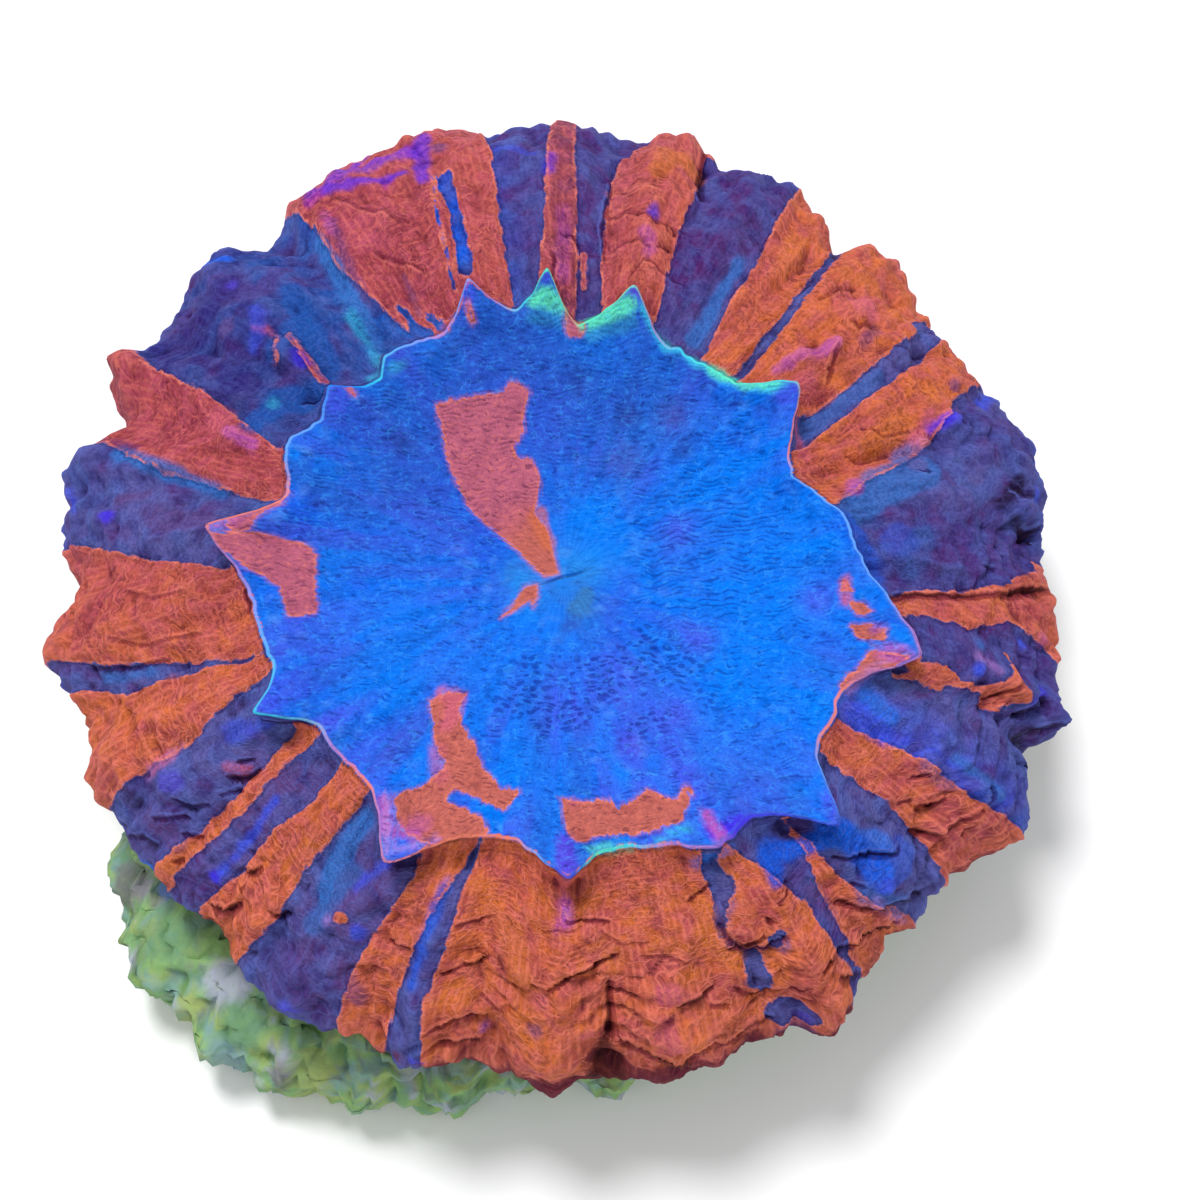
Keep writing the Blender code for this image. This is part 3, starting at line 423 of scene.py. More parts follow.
# Round swellings: bearing, station, radius and height in millimetres.
BUMPS = (
    (42.5, 1.57, 2.3, 1.7), (41, 1.42, 1.3, 1.2), (42.5, 1.28, 1.4, 0.9), (20.5, 1.52, 1.2, 0.9),
    (23, 1.68, 1, 1.1), (15, 1.17, 1.3, 0.7), (77, 1.51, 1, 0.9), (77.5, 1.37, 1.6, 0.8),
    (79.5, 1.85, 3, 0.9), (73, 1.95, 1.4, 0.7), (140.5, 1.32, 1.7, 1.2), (138.5, 1.55, 2.8, 1.3),
    (158, 1.3, 1.5, 1.2), (122, 1.78, 1, 0.6), (283, 1.66, 2.2, 1.3), (270, 1.66, 2, 1),
    (295.5, 1.46, 2, 1.1), (298, 1.78, 2.4, 0.9), (297, 1.93, 2.2, 0.8), (317, 1.35, 2.6, 0.9),
    (315.5, 1.72, 3.6, 1.4), (240.5, 1.4, 1.7, 1.1), (238, 1.57, 1.2, 0.7), (237.5, 1.94, 2, 1),
    (209, 1.66, 2, 0.9), (222.5, 1.82, 1.2, 0.8), (172.5, 1.76, 1.5, 0.7), (345, 1.72, 1.4, 1.1),
    (275.5, 1.98, 2, -1.8), (268, 1.9, 3.4, 0.7), (284, 1.88, 3, 0.7), (258, 1.9, 2.4, 0.5),
    (352, 1.97, 1.8, 0.8), (331, 1.5, 1.3, 0.8), (331.5, 1.68, 1.4, 0.8), (283.5, 1.84, 2.2, 0.8),
    (92, 1.85, 1.4, 0.5), (252, 1.45, 1.4, 0.6), (186, 1.3, 2.5, 0.5),
)  # fmt: skip

# How orange and how blue the mantle is by bearing: names from the colours below.
ORANGE_ROUND = (
    (2, "ember"), (25, "orange"), (57, "orange"), (70, "ember"), (80, "rust"), (90, "mulberry"),
    (97, "rust"), (103, "rust"), (118, "rose"), (158, "rose"), (170, "rust"), (184, "ember"),
    (199, "orange"), (217, "orange"), (229, "orange"), (249, "orange"), (275, "orange"), (300, "orange"),
    (325, "ember"), (343, "ember"),
)  # fmt: skip
BLUE_ROUND = (
    (6, "indigo"), (14, "slate"), (22, "indigo"), (34, "slate"), (51, "slate"), (67, "purple"),
    (86, "purple"), (96, "indigo"), (107, "blue"), (128, "ocean"), (140, "navy"), (150, "navy"),
    (172, "slate"), (194, "slate"), (210, "slate"), (222, "plum"), (232, "slate"), (240, "plum"),
    (252, "slate"), (295, "slate"), (306, "indigo"), (314, "slate"), (322, "slate"),
    (330, "cobalt"), (338, "slate"), (346, "indigo"), (352, "purple"),
)  # fmt: skip

# Colour of the thin bright line along the crest, by bearing.
CREST_ROUND = (
    (8, "sky"), (20, "sky"), (26, "peach"), (32, "peach"), (38, "cyan"), (48, "mint"), (62, "cyan"),
    (70, "lilac"), (78, "mint"), (86, "mint"), (89, "peach"), (93, "mint"), (99, "cyan"), (105, "lilac"),
    (112, "sky"), (116, "lilac"), (126, "sky"), (135, "cyan"), (141, "azure"), (152, "sky"), (160, "sky"),
    (168, "peach"), (176, "peach"), (181, "lilac"), (195, "sky"), (212, "cyan"), (222, "lilac"),
    (232, "peach"), (238, "lilac"), (246, "peach"), (261, "peach"), (266, "sky"), (269, "cobalt"),
    (272, "cobalt"), (276, "mint"), (282, "cyan"), (287, "lilac"), (294, "lilac"), (300, "vivid"),
    (312, "cobalt"), (318, "sky"), (324, "peach"), (333, "peach"), (338, "lilac"), (345, "lilac"),
    (352, "sky"),
)  # fmt: skip

# Soft patches on the ledge: name, strength, bearing, reach and radius in millimetres.
CRUST_TONES = (
    ("lavender", 0.85, 228, 55.5, 2.8), ("lime", 0.7, 226.5, 60.5, 1.6),
    ("lavender", 0.6, 224.5, 62, 1.2), ("fern", 0.7, 219, 57, 3), ("lime", 0.4, 217, 58, 1.2),
    ("stone", 0.8, 211.5, 57, 2.2), ("blue", 0.6, 214, 54, 1.1), ("pool", 0.8, 232.5, 61.5, 2.2),
    ("fern", 0.8, 232.5, 57.5, 2.6), ("stone", 0.6, 238.5, 59.8, 1.2), ("lime", 0.6, 241.5, 58, 2.2),
    ("blue", 0.4, 242, 61, 0.8), ("lavender", 0.5, 236, 62, 1), ("pool", 0.7, 262, 56, 3),
)  # fmt: skip

# Drum of the skeleton from the middle of its top, down the wall, out along the ledge
# and back under: reach and height in millimetres, share of the ledge's spread, how
# knobbly it is, and how many rings lead up to it.
CRUST_PROFILE = (
    (0, 21.9, 0, 0, 0), (24, 21.9, 0, 0, 1), (43.6, 21.9, 0, 0, 3), (44.5, 21.0, 0, 0.2, 2),
    (44.6, 15.0, 0, 0.5, 8), (44.7, 13.2, 0.08, 0.9, 4), (44.7, 11.6, 0.4, 1, 10),
    (44.7, 10.2, 0.8, 1, 12), (44.7, 8.6, 0.98, 1, 8), (44.7, 5, 1, 1, 10),
    (44.3, 1.2, 0.96, 0.8, 9), (43.6, 0, 0.93, 0.4, 3), (24, 0, 0, 0, 2), (0, 0, 0, 0, 1),
)  # fmt: skip
DRUM_REACH = 45  # from which the ledge's spread is measured
RIBS = 42  # round the drum and the ledge
HIGHEST_KNOB = 1.9

# Blotches of the flesh: name, size in millimetres, seed, how much of the noise is cut off
# and how much they cover at most. The streaks' size is in shares of the reach.
DISC_SMUDGES = (
    ("cobalt", 2.4, 31, 0.1, 0.45), ("royal", 1.7, 32, 0.15, 0.45), ("sky", 1.3, 34, 0.3, 0.45),
)  # fmt: skip
DISC_STREAKS = (
    ("cobalt", 0.11, 48, 0.2, 0.7), ("azure", 0.11, 49, 0.2, 0.8), ("royal", 0.11, 57, 0.2, 0.6),
    ("violet", 0.11, 61, 0.2, 0.3),
)  # fmt: skip
MANTLE_BLOTCHES = (
    ("slate", 2.2, 25, 0, 0.35), ("purple", 2.6, 26, 0, 0.7), ("teal", 3.0, 35, 0, 0.22),
    ("navy", 1.3, 27, 0, 0.45), ("mist", 1.1, 36, 0, 0.15),
)  # fmt: skip
WARM_BLOTCHES = (
    ("rose", 4.0, 23, 0, 0.45), ("ochre", 3.4, 37, 0, 0.55), ("rust", 2.2, 38, 0, 0.5),
    ("maroon", 1.6, 39, 0, 0.22), ("pink", 1.3, 28, 0, 0.25),
)  # fmt: skip

# Patches of the crust: name, size in millimetres, seed, the noise at which they start
# and are full, and their strength.
ALGAE = (
    ("fern", 4, 54, -0.05, 0.12, 0.5), ("lime", 3.4, 51, 0.12, 0.22, 0.6),
    ("pool", 3.6, 50, 0.22, 0.3, 0.7), ("lavender", 4.4, 52, 0.25, 0.32, 0.8),
    ("fern", 1.8, 53, 0.14, 0.26, 0.7), ("pool", 1.5, 59, 0.28, 0.36, 0.6),
    ("lime", 1.4, 55, 0.2, 0.3, 0.5), ("stone", 1.3, 56, 0.3, 0.4, 0.4),
)  # fmt: skip

# What a colour is multiplied by: painted shade along the disc's ripples and dimples and in the mantle's
# pits, together with a random coarse grain; and painted shade in creases, under lips and in hollows.
WRINKLE_AND_GRAIN_SHADE = (0.4, 0.36, 0.5, 1)
CREASE_SHADE = (0.3, 0.16, 0.3, 1)
LIP_SHADE = (0.36, 0.16, 0.34, 1)
HOLLOW_SHADE = (0.34, 0.2, 0.38, 1)
CRUST_SHADE = (0.42, 0.5, 0.5, 1)
# The mouth's slit is painted dark as the shadow inside it.
SLIT_SHADOW = (0.02, 0.09, 0.2, 1)
FLOOR_COLOUR = (0.93, 0.93, 0.94, 1)
CRUST_GRAIN = 0.25 * MM
MOUTH_RAYS = 46  # fine rays painted round the mouth


# ------------------------------------------------------------------ properties
def linear(red, green, blue):
    """A colour named in everyday 0 to 255 steps, as the linear values shaders take."""
    steps = [value / 255 for value in (red, green, blue)]
    return tuple(s / 12.92 if s <= 0.04045 else ((s + 0.055) / 1.055) ** 2.4 for s in steps)


def colour(name, description, red, green, blue):
    return FloatVectorProperty(
        name=name, description=description, subtype="COLOR", size=3, min=0, max=1,
        default=linear(red, green, blue),
    )  # fmt: skip


def length(name, description, millimetres):
    return FloatProperty(
        name=name, description=description, default=millimetres * MM, min=0, unit="LENGTH"
    )


class CoralSizes(bpy.types.PropertyGroup):
    mouth_height: length("Mouth height", "Height of the mouth above the foot", 29)
    rim_height: length("Rim height", "Height of the mantle's widest line", 20.5)
    shoulder_height: length("Shoulder height", "Height of the mantle just behind the crest", 34.2)
    lobe_swell: length("Lobe swell", "How far each lobe swells between its creases", 1.1)
    pleat_depth: length("Pleat depth", "Depth of the long folds down the mantle", 0.9)
    ripple_depth: length("Ripple depth", "Depth of the small steps across the mantle", 0.7)
    septum_ridge: length("Septum ridge", "Height of the fine rays on the disc", 0.16)
    crevice_depth: length("Crevice depth", "Depth of the widest crevices", 2.0)
    wrinkle_depth: length("Wrinkle depth", "Depth of the finest wrinkles in the skin", 0.22)
    knob_height: length("Knob height", "Height of the crust's knobs", 1.3)


class CoralColours(bpy.types.PropertyGroup):
    azure: colour("Azure", "Brightest blue of the disc", 0, 120, 238)
    blue: colour("Blue", "Main blue of the disc", 18, 92, 220)
    royal: colour("Royal", "Duller blue at the back of the disc", 40, 88, 188)
    cobalt: colour("Cobalt", "Violet blue of the horns", 62, 84, 222)
    violet: colour("Violet", "Violet tints", 88, 66, 212)
    vivid: colour("Vivid violet", "Glowing violet edges", 66, 44, 222)
    magenta: colour("Magenta", "Magenta rim", 148, 44, 158)
    mauve: colour("Mauve", "Pink violet bumps", 176, 82, 172)
    lilac: colour("Lilac", "Pale violet lines", 178, 126, 200)
    pink: colour("Pink", "Pink swellings", 204, 96, 122)
    rose: colour("Rose", "Pinkish red flesh", 158, 64, 78)
    rust: colour("Rust", "Red orange flesh at the back", 178, 82, 80)
    ember: colour("Ember", "Middle orange flesh", 192, 95, 72)
    orange: colour("Orange", "Brightest orange flesh", 204, 104, 62)
    salmon: colour("Salmon", "Pinkish orange of the disc", 184, 96, 120)
    mulberry: colour("Mulberry", "Dusky rose at the back", 128, 62, 92)
    maroon: colour("Maroon", "Dark red edges", 96, 28, 50)
    # This dark brown is painted shadow, put inside the folds and in the dark pocket at the front rim.
    fold_shadow: colour("Fold shadow", "Brown black inside the folds", 52, 14, 20)
    indigo: colour("Indigo", "Main dark blue of the mantle", 78, 58, 128)
    purple: colour("Purple", "Dark purple of the mantle", 80, 36, 102)
    plum: colour("Plum", "Greyish purple", 96, 66, 124)
    navy: colour("Navy", "Darkest blue of the mantle", 46, 38, 112)
    # This almost black is painted shadow, put in the crevices, in dark pockets, just past the crest and
    # under the rim.
    crevice_shadow: colour("Night", "Almost black crevices", 30, 14, 44)
    slate: colour("Slate", "Greyish blue stripes", 90, 88, 152)
    teal: colour("Teal", "Greenish blue patches", 52, 108, 186)
    ocean: colour("Ocean", "Deep teal of the back left lobe", 32, 82, 164)
    mint: colour("Mint", "Glowing green at the horns", 95, 228, 185)
    cyan: colour("Cyan", "Glowing line of the crest", 60, 200, 225)
    glow: colour("Glow", "Pale green blue round the mouth", 60, 160, 205)
    ash: colour("Ash", "Grey green beside the mouth", 62, 120, 150)
    sky: colour("Sky", "Pale blue line of the crest", 100, 160, 245)
    coral: colour("Coral", "Clear orange of the disc", 186, 98, 88)
    ochre: colour("Ochre", "Yellowish orange flesh", 204, 112, 52)
    mist: colour("Mist", "Pale lines in the blue flesh", 96, 112, 192)
    glint: colour("Glint", "Pale specks of the disc", 60, 160, 250)
    peach: colour("Peach", "Pale orange line of the crest", 228, 126, 106)
    stone: colour("Stone", "Bare skeleton", 112, 108, 112)
    moss: colour("Moss", "Main green of the algae", 136, 176, 110)
    lime: colour("Lime", "Yellow green of the algae", 156, 172, 104)
    fern: colour("Fern", "Dark green of the algae", 106, 148, 110)
    pool: colour("Pool", "Blue green crust", 122, 156, 160)
    lavender: colour("Lavender", "Pale lilac crust", 164, 168, 190)


# --------------------------------------------------------------- body of the flesh
# From here on lengths are in millimetres, unless a line says otherwise.
FLESH_ACROSS = 203.6  # the flesh along X, in hundredths of its radius
HUNDREDTH = (FLESH_HIGH.x - FLESH_LOW.x) / FLESH_ACROSS / MM
HIGHEST_TIP = 0.977  # share of the whole height that the tallest horn reaches
HEIGHT = FLESH_HIGH.z / HIGHEST_TIP / MM
MEAN_CREST = 58 * HUNDREDTH
DISC_EDGE = 0.9 * HEIGHT  # height of the disc's edge between two horns
CREST_REACH, MANTLE_REACH = 33, 23  # mean reach of the crest, and of the mantle past it
ROUGH_RING = 32.0  # how far out the roughness of the crest is read
TIP_BLUNTNESS = 0.07  # of a horn, as a share of the way to the next place
FLANK_HOLLOW = 1.75  # how hollow a horn's flanks are, from 1 for straight ones
FULL_LOBE = 16  # degrees between two creases from which a lobe swells fully
LOBE_ROUNDNESS = 0.6
LOBE_DROOP = 1.2  # how much lower the rim hangs on a lobe than in a crease
CURL_SHARE = 0.13  # share of the mantle that curls out under the horns
TUCK_SHARE = 0.3  # stations past the rim that its turn under takes
TUCK_IN, TUCK_DOWN = 3.8, 6.1  # how far that turn goes
SEAT_RADIUS = 46.4  # of the hidden hollow that sits on the skeleton
SEAT_FOOT = 15.4
SEAT_HEIGHT = STONE_HIGH.z / MM + 0.3
WIDEST_CREVICE = 0.42  # half of its width
ROUND = 45  # how far out the skin's even map is laid out
SEPTA = 44  # fine rays on the disc
MOUTH = (0.3, -0.1)  # middle of the mouth's slit, in plan
FLESH_SIDES, CRUST_SIDES = 112, 120  # steps round the coral before the rings are doubled
DISC_RINGS = ((0.13, 13), (0.402, 17), (1, 34))  # station where each stretch ends, and rings
MANTLE_RINGS, TUCK_RINGS = 68, 13


def around(table, bearing, column, horns=True):
    """Values of a closed table at many bearings, smooth except at its blunt horns."""
    rows = [row for row in table if horns or len(row) < 4 or not row[3]]
    marks = np.array([row[0] for row in rows])
    values = np.array([row[column] for row in rows], float)
    sharp = np.array([len(row) > 3 and row[3] == 1 for row in rows])
    bearing = bearing % 360
    after = np.searchsorted(marks, bearing, side="right") % len(rows)
    before = (after - 1) % len(rows)
    span = (marks[after] - marks[before]) % 360
    share = ((bearing - marks[before]) % 360) / span
    away = np.where(sharp[after], 1 - share, share)
    whole = math.hypot(1, TIP_BLUNTNESS) - TIP_BLUNTNESS
    away = (np.hypot(away, TIP_BLUNTNESS) - TIP_BLUNTNESS) / whole
    horn = 1 - (1 - away) ** FLANK_HOLLOW
    way = np.where(sharp[before], horn, gate(share, 0, 1))
    way = np.where(sharp[after], 1 - horn, way)
    return values[before] + (values[after] - values[before]) * way


def crest(bearing):
    """Reach and height of the crest, and the reach it would have with no horns."""
    reach = around(CREST, bearing, 1) * HUNDREDTH
    height = around(CREST, bearing, 2) * HEIGHT / 100
    plain = around(CREST, bearing, 1, horns=False) * HUNDREDTH
    ring = stand(np.full(len(bearing), ROUGH_RING), np.zeros(len(bearing)), bearing)
    reach = reach + 0.5 * rough(ring, 2.6, 45) + 0.3 * rough(ring, 1.1, 46)
    height = height + 0.6 * rough(ring, 3.4, 47)
    return reach, height, plain


def swelling(bearing):
    """0 in a crease of the mantle and up to 1 on the lobe between two creases."""
    marks = np.array(CREASES, float)
    after = np.searchsorted(marks, bearing % 360, side="right") % len(marks)
    span = (marks[after] - marks[after - 1]) % 360
    share = ((bearing - marks[after - 1]) % 360) / span
    return np.sin(np.pi * share) ** LOBE_ROUNDNESS * np.minimum(1, span / FULL_LOBE)


def smooth_body(bearing, station, sizes):
    """Reach and height of the flesh before any fold or wrinkle."""
    crest_reach, crest_height, plain = crest(bearing)
    rim_reach = around(RIM, bearing, 1) * HUNDREDTH
    droop = LOBE_DROOP * (0.5 - swelling(bearing))
    mouth, rim, shoulder = (
        value / MM for value in (sizes.mouth_height, sizes.rim_height, sizes.shoulder_height)
    )

    # the disc, from the mouth out to the crest
    disc = np.clip(station, 0, 1)
    disc_reach = disc * (MEAN_CREST + (crest_reach - MEAN_CREST) * disc**2)
    disc_height = mouth + (DISC_EDGE - mouth) * disc**1.7 + (crest_height - DISC_EDGE) * disc**6

    # the mantle, from the crest down to the rim, curling out under each horn
    out = np.clip(station - 1, 0, 1)
    curl = (1 - np.clip(out / CURL_SHARE, 0, 1)) ** 1.6
    overhang = 0.5 * np.maximum(crest_reach - plain, 0)
    root = crest_reach - overhang
    mantle_reach = root + (rim_reach - root) * out + overhang * curl
    mantle_height = rim + (shoulder - rim) * (1 - out**2.4) ** 0.72
    mantle_height += (crest_height - shoulder) * curl
    mantle_height += droop * out**4

    # the rim's turn under, and the hidden seat on the skeleton
    turn = np.clip((station - 2) / TUCK_SHARE, 0, 1) * np.pi / 2
    tuck_reach = rim_reach - TUCK_IN * (1 - np.cos(turn))
    tuck_height = rim + droop - TUCK_DOWN * np.sin(turn)
    lip_reach, lip_height = rim_reach - TUCK_IN, rim + droop - TUCK_DOWN
    marks = (2 + TUCK_SHARE, 2.4, 2.5, 3.0)
    inner = np.interp(station, marks, (0, 1, 1, 1))
    seat_reach = np.interp(station, marks, (SEAT_RADIUS, SEAT_RADIUS, SEAT_RADIUS, 0))
    seat_reach = lip_reach + (seat_reach - lip_reach) * inner
    seat_height = np.interp(station, marks, (SEAT_FOOT, SEAT_FOOT, SEAT_HEIGHT, SEAT_HEIGHT))
    seat_height = lip_height + (seat_height - lip_height) * inner

    parts = (station > marks[0], station > 2, station > 1)
    reach = np.select(parts, (seat_reach, tuck_reach, mantle_reach), disc_reach)
    height = np.select(parts, (seat_height, tuck_height, mantle_height), disc_height)
    return reach, height


def on_skin(bearing, station, sizes):
    """Points of the smooth flesh at one place or at many."""
    bearing, station = np.atleast_1d(bearing), np.atleast_1d(station)
    return stand(*smooth_body(bearing, station, sizes), bearing)


def skin_length(station):
    """Rough distance along the skin from the mouth."""
    return np.interp(station, (0, 1, 2, 2 + TUCK_SHARE, 3), (0, CREST_REACH, 62, 70, 100))


def stand(reach, height, bearing):
    """Points at these reaches, heights and bearings."""
    angle = np.radians(bearing)
    return np.stack((reach * np.cos(angle), reach * np.sin(angle), height), axis=1)


def turn_from(start, bearing):
    """Degrees from one bearing on to another, from -180 to 180."""
    return (bearing - start + 180) % 360 - 180


def rough(points, size, seed=0):
    """Smooth random values from about -1 to 1, with lumps of the given size."""
    shifted = points / size + 13.7 * (seed + 1)
    return np.array([noise.noise(place) for place in shifted.tolist()])


def gate(values, low, high):
    """A soft step from 0 at the low value to 1 at the high one."""
    share = np.clip((values - low) / (high - low), 0, 1)
    return share * share * (3 - 2 * share)


def beside(points, start, along):
    """Where each point lies beside a straight side: the share along it and the gap to it."""
    share = np.clip((points - start) @ along / (along @ along), 0, 1)
    return share, np.linalg.norm(points - start - share[:, None] * along, axis=1)


def inside_line(points, places, sizes):
    """How far inside a line of varying width each point lies."""
    bearing, station, width = np.array(places, float).T
    ends = on_skin(bearing, station, sizes)
    if len(places) == 1:
        return width[0] - np.linalg.norm(points - ends[0], axis=1)
    best = np.full(len(points), -99.0)
    for start, end, first, last in zip(ends, ends[1:], width, width[1:]):
        share, gap = beside(points, start, end - start)
        best = np.maximum(best, first + (last - first) * share - gap)
    return best


def inside_outline(points, outline, sizes):
    """How far inside a closed outline each point lies in plan."""
    bearing, station = np.array(outline, float).T
    corners = on_skin(bearing, station, sizes)[:, :2]
    plan = points[:, :2]
    nearest = np.full(len(plan), 99.0)
    crossings = np.zeros(len(plan), int)
    for start, end in zip(corners, np.roll(corners, -1, axis=0)):
        along = end - start
        nearest = np.minimum(nearest, beside(plan, start, along)[1])
        spans = (plan[:, 1] < start[1]) != (plan[:, 1] < end[1])
        rise = along[1] if along[1] else 1e-9
        meet = start[0] + (plan[:, 1] - start[1]) * along[0] / rise
        crossings += spans & (plan[:, 0] < meet)
    return np.where(crossings % 2 == 1, nearest, -nearest)


def wrap(bearing, station):
    """Places on the skin: round it at an even reach, and down it."""
    angle = np.radians(bearing)
    return np.stack((ROUND * np.cos(angle), ROUND * np.sin(angle), skin_length(station)), axis=1)


def crevices(bearing, distance):
    """The nearest crevice to each place: its signed gap, half width and how level it runs.

    The gap is below 0 on the crest's side and above 0 on the rim's side."""
    gap = np.full(len(bearing), 9.0)
    half = np.full(len(bearing), -9.0)
    level = np.ones(len(bearing))
    for places in CREVICES:
        bearings, stations, widths = np.array(places, float).T
        first = bearings[0]
        spots = np.stack((np.radians(turn_from(first, bearing)) * ROUND, distance), axis=1)
        turns = np.radians(turn_from(first, bearings)) * ROUND
        marks = np.stack((turns, skin_length(stations)), axis=1)
        close = (spots > marks.min(axis=0) - 3) & (spots < marks.max(axis=0) + 3)
        near = np.flatnonzero(close.all(axis=1))
        way = 1 if turns[-1] >= 0 else -1
        for n in range(len(places) - 1):
            along = marks[n + 1] - marks[n]
            size = np.linalg.norm(along)
            along = along / size
            offset = spots[near] - marks[n]
            run = offset @ along
            side = way * (offset[:, 1] * along[0] - offset[:, 0] * along[1])
            past = np.maximum(np.maximum(-run, run - size), 0)
            inner = ((run < 0) & (n > 0)) | ((run > size) & (n < len(places) - 2))
            width = widths[n] + (widths[n + 1] - widths[n]) * np.clip(run / size, 0, 1)
            here = np.where(inner, np.where(side < 0, -1, 1) * np.hypot(side, past), side)
            width = np.where(inner, width, width - past)
            better = width - np.abs(here) > half[near] - np.abs(gap[near])
            chosen = near[better]
            gap[chosen], half[chosen] = here[better], width[better]
            level[chosen] = abs(along[0])
    return gap, half, level


def knobs(places, size, seed=0):
    """Round knobs packed close together: 1 on their tops and 0 between them."""
    shifted = places / size + 7.3 * (seed + 1)
    nearest = np.array([noise.voronoi(place)[0][0] for place in shifted.tolist()])
    return np.clip(1 - (nearest / 0.62) ** 2, 0, 1)


def mantle_layers(bearing, station, wrapped, orange, sizes):
    """Layers of lift on the mantle: lobes, pleats, folds, knobs, frill and raised orange."""
    out = np.clip(station - 1, 0, 1)
    outer = gate(station, 1.3, 1.85)
    mantle = mantle_share(station)
    lobes = swelling(bearing + 1.4 * rough(wrapped, 9))
    inland = 1 - 0.75 * gate(station, 1.75, 2.0)
    yield mantle * sizes.lobe_swell / MM * (0.45 + out) * (lobes - 0.6) * inland

    stretched = wrapped * (1, 1, 0.25)
    pleats = 0.25 - np.abs(rough(stretched, 3.2, 1)) - 0.55 * np.abs(rough(stretched, 1.5, 2))
    yield mantle * sizes.pleat_depth / MM * pleats * (1 - 0.4 * outer)
    yield mantle * 0.9 * rough(wrapped, 4.2, 3)

    folds = wrapped * (1, 1, 0.7) + 0.5 * rough(wrapped, 2.6, 16)[:, None]
    yield mantle * ((0.5 + 0.4 * outer) * (np.abs(rough(folds, 2.2, 4)) - 0.25) - 0.3)
    yield mantle * 0.3 * (np.abs(rough(folds, 1.2, 17)) - 0.2)

    knobby = outer * gate(rough(wrapped, 8, 11), -0.3, 0.2)
    yield mantle * knobby * sizes.knob_height / MM * 0.6 * (knobs(wrapped, 2.8) - 0.5)

    frilly = 0.7 * rough(wrapped * (1, 1, 0.6), 2.4, 13) + 0.35 * rough(wrapped, 1.1, 14)
    yield mantle * gate(station, 1.7, 1.97) * frilly
    yield mantle * 0.28 * (gate(orange, -0.25, 0.25) - 0.5)


def mantle_share(station):
    """1 on the mantle, and 0 on the disc and the seat."""
    return gate(station, 1.0, 1.1) * (1 - gate(station, 2.2, 2.33))


def ripple_lift(bearing, station, wrapped, sizes):
    """Lift of the small steps across the mantle, strongest low down at the front."""
    saw = (skin_length(station) / 4.2 + 1.6 * rough(wrapped, 6.5, 5)) % 1
    step = np.where(saw < 0.85, (saw / 0.85) ** 1.6, (1 - saw) / 0.15)
    front = 0.5 + 0.5 * np.cos(np.radians(bearing - 290))
    outer = gate(station, 1.3, 1.85)
    strength = gate(rough(wrapped, 6, 6), -0.3, 0.25) * (0.3 + 0.9 * outer * front)
    return mantle_share(station) * sizes.ripple_depth / MM * strength * (step - 0.4)


def crevice_relief(bearing, station, wrapped, sizes):
    """Lift and slide of the lips of the crevices, and the crevices' gap and half width."""
    wander = bearing + 0.3 * rough(wrapped, 2.4, 7)
    distance = skin_length(station) + 0.3 * rough(wrapped, 2.4, 12)
    gap, half, level = crevices(wander, distance)
    half = np.minimum(half, WIDEST_CREVICE)
    depth = mantle_share(station) * sizes.crevice_depth / MM * gate(half, -0.02, 0.45)
    above, below = np.minimum(gap, 0), np.maximum(gap, 0)
    hang = np.where(gap < 0, 0.6 * np.exp(above / 2.0), -0.7 * np.exp(-below / 1.1))
    split = -0.7 * np.exp(-((gap / 0.7) ** 2))
    lift = depth * (split + (hang - split) * level)
    slide = depth * level * np.where(gap < 0, 0.3 * np.exp(above / 1.1), 0)
    return lift, slide, gap, half


def disc_layers(bearing, station, points, sizes):
    """Layers of lift on the disc: rays, swells, wrinkles, grain and a raised edge."""
    disc = 1 - gate(station, 0.93, 1.0)
    rays = np.cos(np.radians(bearing * SEPTA) + 1.2 * rough(points, 7, 8))
    yield disc * gate(station, 0.1, 0.4) * sizes.septum_ridge / MM * 0.6 * rays
    yield disc * 0.45 * rough(points, 4.5, 9) * gate(station, 0.1, 0.3)
    yield disc * 0.28 * rough(points, 1.5, 15) * gate(station, 0.15, 0.4)
    yield disc * 0.16 * rough(points * (0.5, 1, 1), 0.8, 10)
    yield 0.35 * disc * gate(station, 0.85, 0.98)


def flesh_relief(bearing, station, points, orange, sizes):
    """Lift off the skin and slide down it, and the gap and half width of its crevices."""
    wrapped = wrap(bearing, station)
    lift = sum(mantle_layers(bearing, station, wrapped, orange, sizes))
    ripple = ripple_lift(bearing, station, wrapped, sizes)
    lift += ripple
    slide = 0.5 * np.maximum(ripple, 0)
    lips, tug, gap, half = crevice_relief(bearing, station, wrapped, sizes)
    lift += lips
    slide += tug
    for place, spot, radius, height in BUMPS:
        away = np.linalg.norm(points - on_skin(place, spot, sizes), axis=1) / radius
        dome = height * np.exp(-(away**2.6))
        lift += dome
        slide += 0.35 * dome * gate(-away, -1.2, -0.4)
    for layer in disc_layers(bearing, station, points, sizes):
        lift += layer
    half -= 2 * np.maximum(np.abs(gap) - np.maximum(half, 0) - 0.5, 0)
    return lift, slide, gap, half


def mouth_relief(points):
    """The thin slit of the mouth: its lift, the gap across it, and 1 inside its length."""
    slit_angle, half_length, half_width = math.radians(18), 3.3, 0.16
    east, north = (points[:, :2] - MOUTH).T
    along = east * math.cos(slit_angle) + north * math.sin(slit_angle)
    across = north * math.cos(slit_angle) - east * math.sin(slit_angle)
    across += 0.05 * np.sin(along * 1.7)
    ends = np.clip(1 - (along / half_length) ** 2, 0, 1) ** 0.5
    slit = -0.35 * ends * np.exp(-((across / half_width) ** 2))
    return slit, across, ends


